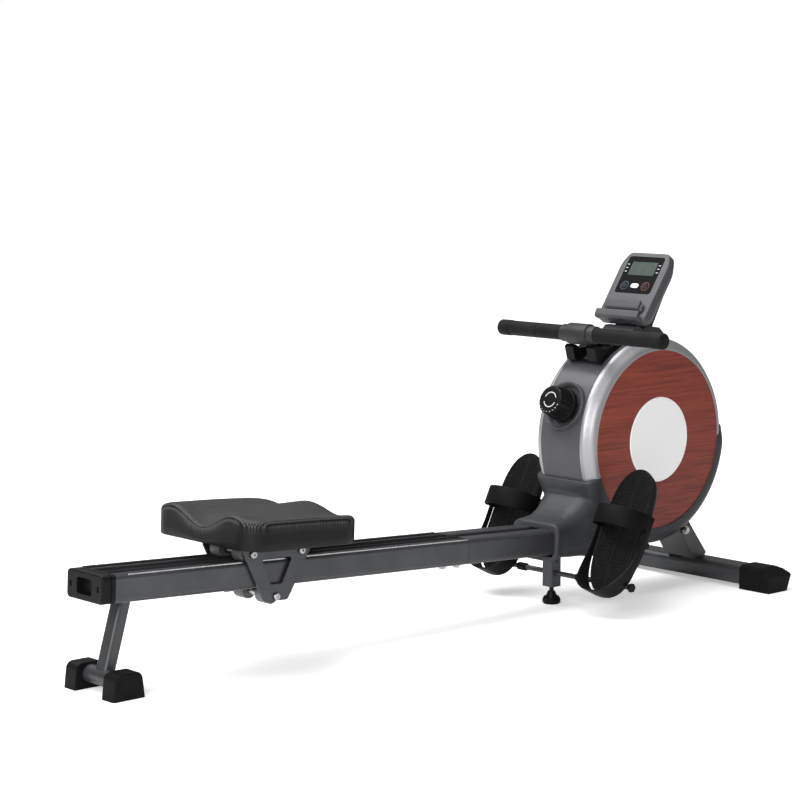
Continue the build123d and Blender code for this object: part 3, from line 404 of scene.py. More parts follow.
def moulded_abs(name, dark, light, rough_low, rough_high, grain_mm=0.9, grain_depth=0.06, gloss=0.32):
    """Spark-eroded mould grain: fine pits that scatter the light and keep the plastic satin."""
    m, tree, shader, where = new_material(name, Specular_IOR_Level=gloss, IOR=1.46)
    tint = noise(tree, where, 45, 3.0)
    tree.links.new(ramp(tree, tint, [(0.3, dark), (0.7, light)]), shader.inputs["Base Color"])
    sheen = noise(tree, where, 5, 3.0)
    tree.links.new(spread(tree, sheen, rough_low, rough_high), shader.inputs["Roughness"])
    bumped(tree, shader, noise(tree, where, grain_mm, 2.0), grain_depth, 0.7)
    return m


def black_abs():
    """Black moulded plastic: dark, with a broad dull highlight."""
    return moulded_abs("black_abs", shade("black", 0.85), shade("black", 1.15), 0.34, 0.48, gloss=0.14)


def grey_abs():
    """Dark grey moulded plastic with a smoother, satin highlight."""
    dark, light = shade("shroud", 0.92), shade("shroud", 1.08)
    return moulded_abs("satin_grey_abs", dark, light, 0.3, 0.42, 0.8, 0.03, 0.22)


def band_abs():
    """Mid-grey moulded plastic: the smoothest one, so the band's curve shows in its highlight."""
    return moulded_abs("band_grey_abs", shade("band", 0.93), shade("band", 1.07), 0.26, 0.36, 0.8, 0.025)


def console_abs():
    """Grey moulded plastic, a little duller than the band."""
    return moulded_abs("console_abs", shade("console", 0.92), shade("console", 1.08), 0.4, 0.52, 1.0, 0.04)


def joint_abs():
    """Charcoal moulded plastic, matt beside the foam."""
    return moulded_abs("joint_abs", shade("joint", 0.9), shade("joint", 1.1), 0.42, 0.55)


def cap_rubber():
    """Hard moulded rubber: darker and duller than the plastic beside it."""
    return moulded_abs("foot_rubber", "#0c0c0d", "#121213", 0.45, 0.62, 1.3, 0.08, 0.12)


def strap_rubber():
    """Soft black rubber: nearly no highlight."""
    return moulded_abs("strap_rubber", "#09090a", "#0e0e0f", 0.5, 0.65, 1.0, 0.06, 0.1)


def eva_foam():
    """Closed-cell foam sleeve: soft, matt, with pinprick cells."""
    m, tree, shader, where = new_material("eva_foam", Specular_IOR_Level=0.12, IOR=1.4, Sheen_Weight=0.08,
                                          Sheen_Roughness=0.4)
    cells = add(tree, "TexVoronoi", Vector=where, Scale=1 / (1.1 * MM)).outputs["Distance"]
    tint = noise(tree, where, 30, 3.0)
    tree.links.new(ramp(tree, tint, [(0.3, "#151516"), (0.7, "#1c1c1d")]), shader.inputs["Base Color"])
    tree.links.new(spread(tree, cells, 0.5, 0.7), shader.inputs["Roughness"])
    bumped(tree, shader, cells, 0.12, 0.5)
    return m


def silver_lacquer():
    """Metallic lacquer over plastic: a bright satin rim with fine flake."""
    m, tree, shader, where = new_material("silver_lacquer", Metallic=0.6)
    flake = noise(tree, where, 0.9, 2.0)
    lacquer = ramp(tree, flake, [(0.3, shade("silver", 0.92)), (0.7, shade("silver", 1.08))])
    tree.links.new(lacquer, shader.inputs["Base Color"])
    tree.links.new(spread(tree, flake, 0.36, 0.46), shader.inputs["Roughness"])
    bumped(tree, shader, flake, 0.01, 0.5)
    return m


def mahogany_laminate():
    """Red-brown laminate with a level grain: long dark pores in bands of lighter and darker wood."""
    m, tree, shader, where = new_material("mahogany_laminate", Specular_IOR_Level=0.4, IOR=1.5,
                                          Coat_Weight=0.15, Coat_Roughness=0.35)
    centred = add(tree, "Mapping", Vector=where, Location=tuple(-HUB), Scale=(1, 1, 1)).outputs["Vector"]
    stretched = add(tree, "Mapping", Vector=centred, Scale=(1.0, 1.0, 12.0)).outputs["Vector"]
    wander = add(tree, "TexNoise", Vector=stretched, Scale=2.6, Detail=5.0, Distortion=0.6).outputs["Fac"]
    pores = add(tree, "Mapping", Vector=centred, Scale=(1.0, 1.0, 34.0)).outputs["Vector"]
    pore = add(tree, "TexNoise", Vector=pores, Scale=8.0, Detail=6.0, Roughness=0.65,
               Distortion=0.5).outputs["Fac"]
    broad = ramp(tree, wander, [(0.25, "#661e14"), (0.5, "#812e1e"), (0.75, "#993e28")])
    dark = ramp(tree, pore, [(0.36, "#46120a"), (0.5, "#82301b"), (0.7, "#9e452d")])
    mixed = add(tree, "Mix", {"data_type": "RGBA", "blend_type": "MIX"}, Factor=0.5)
    tree.links.new(broad, mixed.inputs[6])
    tree.links.new(dark, mixed.inputs[7])
    tree.links.new(mixed.outputs[2], shader.inputs["Base Color"])
    tree.links.new(spread(tree, pore, 0.55, 0.4), shader.inputs["Roughness"])
    bumped(tree, shader, pore, 0.12, 0.6)
    return m


def brushed_badge():
    """Turned aluminium disc: fine rings round the hub give it a soft fan of light."""
    m, tree, shader, where = new_material("turned_aluminium", Metallic=0.1, Base_Color=linear("#fafafa"))
    centred = add(tree, "Mapping", Vector=where, Location=tuple(-HUB)).outputs["Vector"]
    parts = add(tree, "SeparateXYZ", Vector=centred)
    flat = add(tree, "CombineXYZ", X=parts.outputs["X"], Y=parts.outputs["Z"])
    length = add(tree, "VectorMath", {"operation": "LENGTH"})
    tree.links.new(flat.outputs["Vector"], length.inputs[0])
    rings = add(tree, "CombineXYZ", X=length.outputs["Value"])
    lines = add(tree, "TexNoise", Vector=rings.outputs["Vector"], Scale=1 / (1.2 * MM),
                Detail=4.0).outputs["Fac"]
    tree.links.new(spread(tree, lines, 0.3, 0.42), shader.inputs["Roughness"])
    bumped(tree, shader, lines, 0.02, 0.4)
    return m


def zinc_plated_steel():
    """Bright zinc plate: pale metal with small cloudy patches."""
    m, tree, shader, where = new_material("zinc_plated_steel", Metallic=1.0)
    cloud = noise(tree, where, 6, 4.0)
    tree.links.new(ramp(tree, cloud, [(0.3, "#9a9a9b"), (0.7, "#c2c2c3")]), shader.inputs["Base Color"])
    tree.links.new(spread(tree, cloud, 0.22, 0.36), shader.inputs["Roughness"])
    return m


def cast_iron():
    """Machined cast iron with a thin dark paint in its recesses."""
    m, tree, shader, where = new_material("machined_cast_iron", Metallic=0.8)
    grain = noise(tree, where, 2.5, 5.0)
    tree.links.new(ramp(tree, grain, [(0.3, "#3a3a3c"), (0.7, "#59595b")]), shader.inputs["Base Color"])
    tree.links.new(spread(tree, grain, 0.35, 0.6), shader.inputs["Roughness"])
    bumped(tree, shader, grain, 0.1, 0.5)
    return m


def roller_polyurethane():
    """Cast polyurethane tyre, slightly scuffed where it runs."""
    dark, light = shade("roller", 0.9), shade("roller", 1.1)
    return moulded_abs("roller_polyurethane", dark, light, 0.4, 0.55, 1.5, 0.05)


def seat_polyurethane():
    """Self-skinned foam with a moulded grain of small raised dots, 4 mm apart as on gym seats; the dots on
    the top are coloured lighter, a painted highlight.
    """
    m, tree, shader, where = new_material("self_skinned_polyurethane", Specular_IOR_Level=0.22, IOR=1.45)
    dots = add(tree, "TexVoronoi", {"feature": "F1", "voronoi_dimensions": "2D"}, Vector=where,
               Scale=1 / (4.0 * MM), Randomness=0.1).outputs["Distance"]
    dot = add(tree, "MapRange", Value=dots, From_Min=0.2, From_Max=0.42, To_Min=1.0,
              To_Max=0.0).outputs["Result"]
    cover = add(tree, "Attribute", {"attribute_name": "grain"}).outputs["Fac"]
    raised = add(tree, "Math", {"operation": "MULTIPLY"}, i0=dot, i1=cover).outputs["Value"]
    # painted highlight: the raised dots on the top get a lighter grey than the black foam, the sides stay
    # black
    tree.links.new(ramp(tree, raised, [(0.0, "#121213"), (1.0, "#505051")]), shader.inputs["Base Color"])
    tree.links.new(spread(tree, noise(tree, where, 20, 3.0), 0.36, 0.5), shader.inputs["Roughness"])
    bumped(tree, shader, raised, 0.5, 0.9)
    return m


def woven_webbing():
    """Flat nylon webbing: ribs across its width, 1.6 mm apart."""
    m, tree, shader, where = new_material("nylon_webbing", Roughness=0.75, Sheen_Weight=0.4)
    ribs = add(tree, "TexWave", {"bands_direction": "X"}, Vector=where, Scale=1 / (10 * MM),
               Distortion=0.4).outputs["Fac"]
    tree.links.new(ramp(tree, ribs, [(0.2, "#101011"), (0.8, "#2c2c2e")]), shader.inputs["Base Color"])
    bumped(tree, shader, ribs, 0.2, 0.7)
    return m


def gloss_panel():
    """Gloss acrylic front panel."""
    m, tree, shader, where = new_material("gloss_acrylic", Specular_IOR_Level=0.03, IOR=1.49)
    haze = noise(tree, where, 25, 2.0)
    tree.links.new(ramp(tree, haze, [(0.3, "#070708"), (0.7, "#0c0c0d")]), shader.inputs["Base Color"])
    tree.links.new(spread(tree, haze, 0.3, 0.4), shader.inputs["Roughness"])
    return m


def lcd_glass():
    """Reflective liquid-crystal panel: grey-green and slightly cloudy."""
    m, tree, shader, where = new_material("lcd_glass", Specular_IOR_Level=0.06, IOR=1.5)
    haze = noise(tree, where, 18, 2.0)
    tree.links.new(ramp(tree, haze, [(0.3, "#333e39"), (0.7, "#3c4742")]), shader.inputs["Base Color"])
    tree.links.new(spread(tree, haze, 0.15, 0.25), shader.inputs["Roughness"])
    return m


def pale_print():
    """Pale ink printed on plastic."""
    return moulded_abs("pale_print", "#b9b9ba", "#c9c9ca", 0.4, 0.5)


def lcd_segment():
    """Dark liquid-crystal segment."""
    return moulded_abs("lcd_segment", "#0c100c", "#121612", 0.25, 0.35)


def button_plastic(name, dark, light):
    """Smooth button plastic in a given colour, shinier than the housing round it."""
    return moulded_abs(name, dark, light, 0.25, 0.35, 0.7, 0.02)


def blue_button():
    """Dark blue print."""
    return button_plastic("blue_button", "#22395c", "#284267")


def white_button():
    """Off-white button cap, the brightest spot on the panel."""
    return button_plastic("white_button", "#cfcfd0", "#dadadb")


def red_button():
    """Dark red print."""
    return button_plastic("red_button", "#6d1a1b", "#7a2021")


def circuit_board():
    """Green solder mask over glass fibre."""
    return moulded_abs("circuit_board", "#0f4426", "#155430", 0.3, 0.4)


def floor_paint():
    """Matt studio floor, seamless white paper with the faintest mottling, plus a painted glow that only the
    camera sees.
    """
    m, tree, shader, where = new_material("studio_paper", Specular_IOR_Level=0.2)
    mottle = noise(tree, where, 400, 2.0)
    tree.links.new(ramp(tree, mottle, [(0.3, "#f4f4f4"), (0.7, "#f8f8f8")]), shader.inputs["Base Color"])
    tree.links.new(spread(tree, mottle, 0.8, 0.9), shader.inputs["Roughness"])
    # painted glow: emission for camera rays only; haze is its strength, 0.38 near the machine rising to 1.0
    # from 3.5 m out
    seen = add(tree, "LightPath").outputs["Is Camera Ray"]
    away = add(tree, "VectorMath", {"operation": "LENGTH"}, i0=where).outputs["Value"]
    haze = add(tree, "MapRange", Value=away, From_Min=1.0, From_Max=3.5, To_Min=0.38,
               To_Max=1.0).outputs["Result"]
    painted_floor_glow = add(tree, "Math", {"operation": "MULTIPLY"}, i0=seen, i1=haze).outputs["Value"]
    shader.inputs["Emission Color"].default_value = (1.0, 1.0, 1.0, 1.0)
    tree.links.new(painted_floor_glow, shader.inputs["Emission Strength"])
    return m


# ---------------------------------------------------------------- shapes shared by several pieces
def smooth_step(value, low, high):
    """Nought below low, one above high, and an S-curve 3t^2 - 2t^3 between."""
    t = np.clip((value - low) / (high - low), 0.0, 1.0)
    return t * t * (3 - 2 * t)


def to_world(local, origin, axes):
    """Points in a local frame put into the row frame; axes holds the local axes as columns."""
    return np.asarray(local, float) @ np.asarray(axes, float).T + np.asarray(origin, float)


def prism(name, outline, low, high, origin, axes, rounding=0.0, segments=3):
    """An outline in local x and y, in metres, drawn out along local z from low to high, edges rounded."""
    outline = np.asarray(outline, float)
    count = len(outline)
    bottom = np.column_stack([outline, np.full(count, low)])
    top = np.column_stack([outline, np.full(count, high)])
    faces = grid_faces(2, count, close_columns=True)
    faces += [list(range(count))[::-1], list(range(count, 2 * count))]
    piece = mesh_object(name, to_world(np.concatenate([bottom, top]), origin, axes), faces, smooth=False)
    face_outwards(piece)
    if rounding:
        sort_bevel(piece, rounding, segments)
        apply_modifiers(piece)
        piece.data.polygons.foreach_set("use_smooth", np.ones(len(piece.data.polygons), bool))
        weighted = piece.modifiers.new("shading", "WEIGHTED_NORMAL")
        weighted.keep_sharp = True
        apply_modifiers(piece)
    return piece


def joined(name, pieces):
    """Several pieces made into one object."""
    work = bmesh.new()
    for piece in pieces:
        work.from_mesh(piece.data)
    mesh = bpy.data.meshes.new(name)
    work.to_mesh(mesh)
    work.free()
    for piece in pieces:
        bpy.data.objects.remove(piece, do_unlink=True)
    whole = bpy.data.objects.new(name, mesh)
    bpy.context.scene.collection.objects.link(whole)
    return whole


def carve(piece, tools):
    """Cuts other solids out of a piece and removes them."""
    for tool in tools:
        cut = piece.modifiers.new("cut", "BOOLEAN")
        cut.operation = "DIFFERENCE"
        cut.solver = "EXACT"
        cut.object = tool
    apply_modifiers(piece)
    for tool in tools:
        bpy.data.objects.remove(tool, do_unlink=True)
    return piece


def blended(piece, cell, passes=14):
    """Fuses overlapping solids and melts their joins: a voxel remesh, then smoothing."""
    remesh = piece.modifiers.new("fuse", "REMESH")
    remesh.mode = "VOXEL"
    remesh.voxel_size = cell
    remesh.use_smooth_shade = True
    melt = piece.modifiers.new("melt", "SMOOTH")
    melt.factor = 0.5
    melt.iterations = passes
    return apply_modifiers(piece)


def shade_by_angle(piece, degrees=35):
    """Smooth shading that keeps edges sharper than the angle."""
    mesh = piece.data
    mesh.polygons.foreach_set("use_smooth", np.ones(len(mesh.polygons), bool))
    mesh.set_sharp_from_angle(angle=math.radians(degrees))
    return piece


# ---------------------------------------------------------------- seat
def seat_height(x, y, size):
    """Height of the seat's top above its level rim, in metres, at local x (towards the flywheel) and y.

    A shallow basin, plus a hollow scooped out of the rear edge on the middle line, plus a leg groove
    on each side of a low hump at the front, plus slightly raised corners."""
    front = smooth_step(x, -0.02, size.length / 2)
    rear = smooth_step(-x, 0.02, size.length / 2)
    basin = -0.007 * np.exp(-((x + 0.02) / 0.09) ** 2 - (y / 0.11) ** 2)
    scoop = -size.scoop * np.exp(-(y / 0.048) ** 2) * smooth_step(-x, size.length * 0.16, size.length * 0.47)
    grooves = -size.groove * front * np.exp(-((np.abs(y) - 0.088) / 0.040) ** 2)
    hump = 0.006 * front * np.exp(-(y / 0.04) ** 2)
    lobes = 0.008 * rear * np.exp(-((np.abs(y) - 0.088) / 0.030) ** 2)
    corners = -0.003 * front * smooth_step(np.abs(y), 0.10, 0.150)
    return basin + scoop + grooves + hump + lobes + corners


def seat_mesh():
    """The cushion: rings from the underside up the wall, round the rim, and in to the middle of the top."""
    size = settings("seat")
    low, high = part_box("seat_cushion")
    middle_x, middle_z = (low[0] + high[0]) / 2, (low[2] + high[2]) / 2
    axes = np.stack([RAIL_DIR, np.array([0, 1.0, 0]), RAIL_UP], axis=1)
    base = np.array([middle_x, 0, middle_z]) - RAIL_UP * size.thickness / 2
    outline = evenly(rounded_rectangle(size.length, size.width, size.corner, 26), 220)
    wall = size.thickness + seat_height(outline[:, 0], outline[:, 1], size) - size.rim
    steps = [(0.006, 0.0), (0.0015, 0.0), (0.0, 0.06), (0.0, 0.35), (0.0, 0.65), (0.0, 0.95)]
    bend = np.linspace(0, math.pi / 2, 8)
    rings, grain = [], []
    scale_rows = np.concatenate([np.linspace(1, 0.06, 34), [0.02]])
    span = np.array([size.length / 2, size.width / 2])
    for inset, height in steps:
        ring = outline * (1 - inset / span)
        rings.append(np.column_stack([ring, wall * height]))
        grain.append(0.0)
    for angle in bend:
        inset = size.rim * (1 - math.cos(angle))
        ring = outline * (1 - inset / span)
        top = size.thickness + seat_height(ring[:, 0], ring[:, 1], size)
        rings.append(np.column_stack([ring, top - size.rim * (1 - math.sin(angle))]))
        grain.append(1.0)
    for scale in scale_rows[1:]:
        ring = outline * (1 - size.rim / span) * scale
        rings.append(np.column_stack([ring, size.thickness + seat_height(ring[:, 0], ring[:, 1], size)]))
        grain.append(1.0)
    rings = np.array(rings)
    piece = closed_loft("seat_pad", to_world(rings.reshape(-1, 3), base, axes).reshape(rings.shape))
    points = np.empty(len(piece.data.vertices) * 3)
    piece.data.vertices.foreach_get("co", points)
    local = (points.reshape(-1, 3) - base) @ axes
    rim_line = size.thickness + seat_height(local[:, 0], local[:, 1], size) - 0.013
    # the grain mask is 1 on the top above the rim: there the dots are raised and painted lighter as a painted
    # highlight
    cover = piece.data.attributes.new("grain", "FLOAT", "POINT")
    cover.data.foreach_set("value", smooth_step(local[:, 2], rim_line - 0.001, rim_line + 0.001))
    return piece


# ---------------------------------------------------------------- handle
def grip_mesh(side):
    """A foam sleeve and its end cap, turned round the bar, with a seam and a rounded end."""
    size = settings("handle")
    half, grip, end = size.half / MM, size.grip / MM, size.end / MM
    profile = [(49.4, 11.1), (49.4, grip - 1), (50.4, grip), (121, grip), (121.6, grip - 0.7),
               (122.6, grip - 0.7), (123.2, grip), (205, grip), (205.6, grip - 0.8), (206.4, grip - 0.8),
               (207, end - 0.3), (208, end), (half - 5, end), (half - 2.2, end - 0.8),
               (half - 0.8, end - 2.2), (half, end - 5), (half, 1)]
    grip_piece = turned("grip_" + ("left" if side > 0 else "right"), profile, HANDLE, (0, side, 0), 64)
    return shade_by_angle(grip_piece, 30)


def joint_mesh():
    """The stepped moulding in the middle of the handle, with the lug that the strap is pinned in."""
    radius = settings("handle").joint / MM
    half = [(0, radius), (27.5, radius), (29, radius - 0.5), (30.2, radius - 2), (30.6, radius - 3.6),
            (45.5, 19.2), (47.6, 18.8), (48.8, 17.6), (49.2, 16), (49.2, 11.2)]
    profile = [(-along, r) for along, r in half[::-1]] + half[1:]
    body = turned("joint_body", profile, HANDLE, (0, 1, 0), 72)
    lug = box_piece("lug", HANDLE + np.array([8, -17, -17]) * MM, HANDLE + np.array([33, 17, -2]) * MM, 3)
    slot_low, slot_high = HANDLE + np.array([15, -13, -15]) * MM, HANDLE + np.array([36, 13, -5]) * MM
    slot_cut = box_piece("lug_slot", slot_low, slot_high)
    carve(lug, [slot_cut])
    return shade_by_angle(joined("handle_moulding", [body, lug]))


# ---------------------------------------------------------------- knob
def knob_mesh():
    """A fluted knob: the radius dips in twelve finger grooves, which fade out at the skirt and the face."""
    size = settings("knob")
    r, h = size.radius / MM, size.height / MM
    profile = [(-30, 5.8), (1, 5.8), (1, r - 1), (2, r), (9.5, r), (11, r - 1), (11.4, r - 2.4),
               (13, r - 2.6)]
    profile += [(float(z), float(r - 2.6 - 0.085 * (z - 13))) for z in np.linspace(16, h - 4, 12)]
    top = profile[-1][1]
    profile += [(h - 2.2, top - 0.7), (h - 0.8, top - 2.2), (h, top - 4.6), (h, 25.2), (h - 0.6, 24.6),
                (h - 0.6, 1)]
    depth = size.flute / MM

    def flutes(angle, along):
        """Change of radius in millimetres: the positive half of a cosine squared, twelve times round."""
        fade = smooth_step(along, 11.2, 17) * (1 - smooth_step(along, h - 4, h - 0.5))
        return -depth * fade * np.clip(np.cos(12 * angle), -0.2, 1) ** 2

    return shade_by_angle(turned("knob_body", profile, KNOB_POS, KNOB_OUT, 240, flutes), 40)


def knob_marks():
    """Two raised arcs and a ring of small ticks, generic signs for less and more."""
    size = settings("knob")
    axes = axes_from(KNOB_OUT)
    face = size.height - 0.6 * MM
    pieces = []
    for start, end in ((20, 160), (200, 340)):
        a = np.radians(np.linspace(start, end, 40))
        ring = np.concatenate([np.column_stack([np.cos(a), np.sin(a)]) * 17.2,
                               np.column_stack([np.cos(a[::-1]), np.sin(a[::-1])]) * 15.0]) * MM
        pieces.append(prism("arc", ring, face - 0.2 * MM, face + 0.25 * MM, KNOB_POS, axes))
    for k in range(9):
        a = math.radians(20 + 17.5 * k)
        spot = np.array([math.cos(a), math.sin(a)]) * 27.3 * MM
        ring = rounded_rectangle((1.2 + 0.14 * k) * MM, (1.2 + 0.14 * k) * MM, 0.4 * MM, 4) + spot
        pieces.append(prism("tick", ring, size.height - 0.2 * MM, size.height + 0.12 * MM, KNOB_POS, axes))
    return joined("knob_signs", pieces)


# ---------------------------------------------------------------- shroud
def housing_section(outer, inner, half, corner=26):
    """The rounded housing edge as (radius, y) pairs from one inner side, round, to the other."""
    a = np.linspace(0, math.pi / 2, 9)
    one = [(outer - corner + corner * math.sin(x), half - corner + corner * math.cos(x)) for x in a]
    return np.array([(inner, half)] + one + [(r, -y) for r, y in one[::-1]] + [(inner, -half)])


def shroud_ring(size):
    """The curved part: the rounded section swept round the hub from rear seam, under, to front tip."""
    angles = np.radians(np.linspace(199, 364, 120))
    rings = []
    for angle in angles:
        ease = smooth_step(np.degrees(angle), 352, 364)
        section = housing_section(size.outer / MM - 4.0 * ease, 186.0, size.half / MM - 4.0 * ease) * MM
        along = np.array([math.cos(angle), 0, math.sin(angle)])
        rings.append(HUB * [1, 0, 1] + section[:, :1] * along + section[:, 1:] * np.array([0, 1.0, 0]))
    return closed_loft("shroud_ring", np.array(rings))


def shroud_neck():
    """The neck: rounded sections that run from the collar at the beam up into the ring."""
    # each station: x, height of its middle, its height, half its width and its corner radius, in millimetres
    stations = [
        (303, 147, 74, 62, 14), (312, 147.5, 76, 63, 15), (324, 148, 79, 62, 18), (340, 150, 86, 61, 22),
        (356, 154, 98, 62, 26), (372, 160, 112, 66, 30), (388, 168, 128, 72, 34), (406, 170, 136, 78, 34),
        (430, 168, 134, 83, 32), (470, 160, 112, 85, 28)]
    rings = []
    for x, z, height, half, corner in stations:
        loop = rounded_rectangle(2 * half, height, corner, 12)
        rings.append(np.column_stack([np.full(len(loop), x), loop[:, 0], z + loop[:, 1]]) * MM)
    return closed_loft("shroud_neck", np.array(rings))


BAND_ROOM = 222.5           # radius left free for the centre band, in millimetres


def shroud_mesh():
    """Ring and neck melted together, then cut for the wood's circle, the band and the beam."""
    size = settings("shroud")
    lip = shroud_lip()
    body = blended(joined("lower_shell", [shroud_ring(size), shroud_neck(), lip]), size.voxel, 10)
    hub = HUB * [1, 0, 1]
    tools = [turned(name, [(-half, radius), (half, radius)], hub, (0, 1, 0), 200)
             for name, half, radius in (("wood_circle", 100, size.inner / MM), ("band_room", 50, BAND_ROOM))]
    opening = rounded_rectangle(116 * MM, 58 * MM, 11 * MM, 10)
    axes = np.stack([np.array([0, 1.0, 0]), RAIL_UP, np.cross([0, 1.0, 0], RAIL_UP)], axis=1)
    start = np.array([0.303, 0, beam_middle(0.303)])
    tools.append(prism("beam_opening", opening, -0.014, 0.03, start, axes))
    return shade_by_angle(carve(body, tools), 50)


def beam_middle(x):
    """Height of the middle of the beam at x, in metres."""
    low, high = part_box("front_beam")
    slope = RAIL_DIR[2] / RAIL_DIR[0]
    return (low[2] + high[2]) / 2 + slope * (x - (low[0] + high[0]) / 2)


def shroud_lip():
    """The raised lip round the collar's opening."""
    loop = rounded_rectangle(134 * MM, 82 * MM, 17 * MM, 12)
    axes = np.stack([np.array([0, 1.0, 0]), RAIL_UP, np.cross([0, 1.0, 0], RAIL_UP)], axis=1)
    return prism("lip", loop, -0.006, 0.004, np.array([0.305, 0, beam_middle(0.305) + 0.001]), axes)


# ---------------------------------------------------------------- pedals
def sole_half(x, size):
    """Half width of the sole at x up from the heel: a stadium, the root of 1 - |t|^3.5 with t from -1 to 1,
    a little slimmer at the heel."""
    t = np.clip(2 * x / size.length - 1, -1, 1)
    full = (1 - np.abs(t) ** 3.5) ** 0.5
    return size.width / 2 * full * (0.965 + 0.035 * np.clip(x / size.length, 0, 1))


def sole_outline(size, inset=0.0, count=64):
    """Closed outline of the sole in local x and y, pulled in by inset."""
    t = (1 - np.cos(np.linspace(0, math.pi, count))) / 2
    x = t * size.length
    half = sole_half(x, size)
    scale_x = 1 - 2 * inset / size.length
    scale_y = 1 - 2 * inset / size.width
    x = (x - size.length / 2) * scale_x + size.length / 2
    upper = np.column_stack([x, half * scale_y])
    return np.concatenate([upper[:-1], (upper * [1, -1])[::-1][:-1]])


def pedal_frame(side):
    """Origin at the heel and axes: up the tread, across, and out of the tread towards the rower."""
    low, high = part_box("pedal_plate_left" if side > 0 else "pedal_plate_right")
    along = np.array([math.cos(PEDAL_PITCH), 0, math.sin(PEDAL_PITCH)])
    out = np.array([-math.sin(PEDAL_PITCH), 0, math.cos(PEDAL_PITCH)])
    centre = (np.array(low) + np.array(high)) / 2
    size = settings("pedal")
    origin = centre - along * size.length / 2 + out * (size.tread / 2 - 0.0006)
    return origin, np.stack([along, np.array([0, 1.0, 0]), out], axis=1)


def stud_field(name, size, origin, axes):
    """Rows of small square studs over the sole, clear of the middle rib and the border, as one mesh."""
    pitch = size.stud
    xs = np.arange(14 * MM, size.length - 14 * MM, pitch)
    ys = np.arange(-size.width / 2, size.width / 2, pitch) + pitch / 2
    gx, gy = np.meshgrid(xs, ys, indexing="ij")
    keep = (np.abs(gy) < sole_half(gx, size) - 12 * MM) & (np.abs(gy) > 3 * MM)
    spots = np.column_stack([gx[keep], gy[keep]])
    w, h = pitch * 0.33, 1.3 * MM
    corners = np.array([[-w, -w, -h], [w, -w, -h], [w, w, -h], [-w, w, -h],
                        [-w * .8, -w * .8, h], [w * .8, -w * .8, h], [w * .8, w * .8, h],
                        [-w * .8, w * .8, h]])
    sides = np.array([[4, 5, 6, 7], [0, 1, 5, 4], [1, 2, 6, 5], [2, 3, 7, 6], [3, 0, 4, 7], [3, 2, 1, 0]])
    points = (np.column_stack([spots, np.zeros(len(spots))])[:, None, :] + corners[None]).reshape(-1, 3)
    faces = (sides[None] + 8 * np.arange(len(spots))[:, None, None]).reshape(-1, 4)
    return mesh_object(name, to_world(points, origin, axes), faces.tolist(), smooth=False)


def tread_mesh(side):
    """Sole plate with a raised border, a middle rib and the studs."""
    size = settings("pedal")
    origin, axes = pedal_frame(side)
    plate = prism("sole", sole_outline(size), -size.tread, 0, origin, axes, 1.2, 2)
    border_out, border_in = sole_outline(size, 3.5 * MM), sole_outline(size, 7.5 * MM)
    count = len(border_out)
    rings = np.array([np.column_stack([border_out, np.full(count, -0.5 * MM)]),
                      np.column_stack([border_out, np.full(count, 1.2 * MM)]),
                      np.column_stack([border_in, np.full(count, 1.2 * MM)]),
                      np.column_stack([border_in, np.full(count, -0.5 * MM)])])
    border = mesh_object("border", to_world(rings.reshape(-1, 3), origin, axes),
                         grid_faces(4, count, close_rows=True, close_columns=True), smooth=False)
    face_outwards(border)
    rib = prism("rib", rounded_rectangle(size.length * 0.36, 3.2 * MM, 1.4 * MM, 4) + [size.length * 0.42, 0],
                -0.4 * MM, 1.6 * MM, origin, axes)
    return joined("tread_" + SIDES[side], [plate, border, rib, stud_field("studs", size, origin, axes)])


def tray_mesh(side):
    """The deep tray under the sole: rings that pull in as they go down, deepest over the pivot."""
    size = settings("pedal")
    origin, axes = pedal_frame(side)
    rings = []
    for inset, depth in ((2, 5.1), (2, 9), (2.6, 14), (4, 19), (7, 22.5), (12, 24)):
        loop = sole_outline(size, inset * MM)
        rings.append(np.column_stack([loop, np.full(len(loop), -depth * MM)]))
    rings = np.array(rings)
    tray = closed_loft("tray", to_world(rings.reshape(-1, 3), origin, axes).reshape(rings.shape))
    wing = side_wing("wing", size, origin, axes)
    return shade_by_angle(joined("tray_" + SIDES[side], [tray, wing]), 40)


def side_wing(name, size, origin, axes):
    """A skirt that runs along both sides from the strap's anchor down to the pivot."""
    pieces = []
    for edge in (-1, 1):
        loop = np.array([(0.07, -5), (0.205, -5), (0.19, -13), (0.15, -24), (0.11, -26), (0.075, -22)])
        loop[:, 1] *= MM
        wing_axes = np.stack([axes[:, 0], axes[:, 2], np.cross(axes[:, 0], axes[:, 2])], axis=1)
        y = edge * (size.width / 2 - 3.2 * MM)
        low, high = sorted((-y - 2.4 * MM, -y + 2.4 * MM))
        pieces.append(prism(name, loop, low, high, origin, wing_axes, 1.5, 2))
    return joined(name, pieces)


def heel_mesh(side):
    """The heel guard: a thin wall off the heel, highest in the middle, falling away up both sides."""
    size = settings("pedal")
    origin, axes = pedal_frame(side)
    t = np.linspace(-1, 1, 61)
    x = 0.155 * np.abs(t) ** 2.1 - 0.004
    gap = 0.004 + 0.006 * smooth_step(np.abs(t), 0.08, 0.35)
    opened = np.clip(np.abs(t) * 9, 0, 1)
    y = np.sign(t) * (sole_half(np.clip(x + 0.005, 0.0004, 0.3), size) * opened + gap * opened)
    path = np.column_stack([x, y])
    step = np.gradient(path, axis=0)
    out = np.column_stack([step[:, 1], -step[:, 0]])
    out /= np.linalg.norm(out, axis=1)[:, None]
    out *= np.sign((out * (path - [0.1, 0])).sum(1))[:, None]
    top = 0.004 + 0.034 * (1 - smooth_step(np.abs(t), 0.25, 0.9))
    low = np.full(len(t), -0.008)
    wall = 0.0018
    loops = []
    for i in range(len(t)):
        a, b = path[i] - out[i] * wall, path[i] + out[i] * wall
        m = 0.0012
        outer, inner = path[i] + out[i] * wall * 0.5, path[i] - out[i] * wall * 0.5
        loops.append([(*a, low[i]), (*b, low[i]), (*b, top[i] - m), (*outer, top[i]), (*inner, top[i]),
                      (*a, top[i] - m)])
    loops = np.array(loops)
    wall_piece = closed_loft("wall", to_world(loops.reshape(-1, 3), origin, axes).reshape(loops.shape))
    return shade_by_angle(wall_piece, 40)


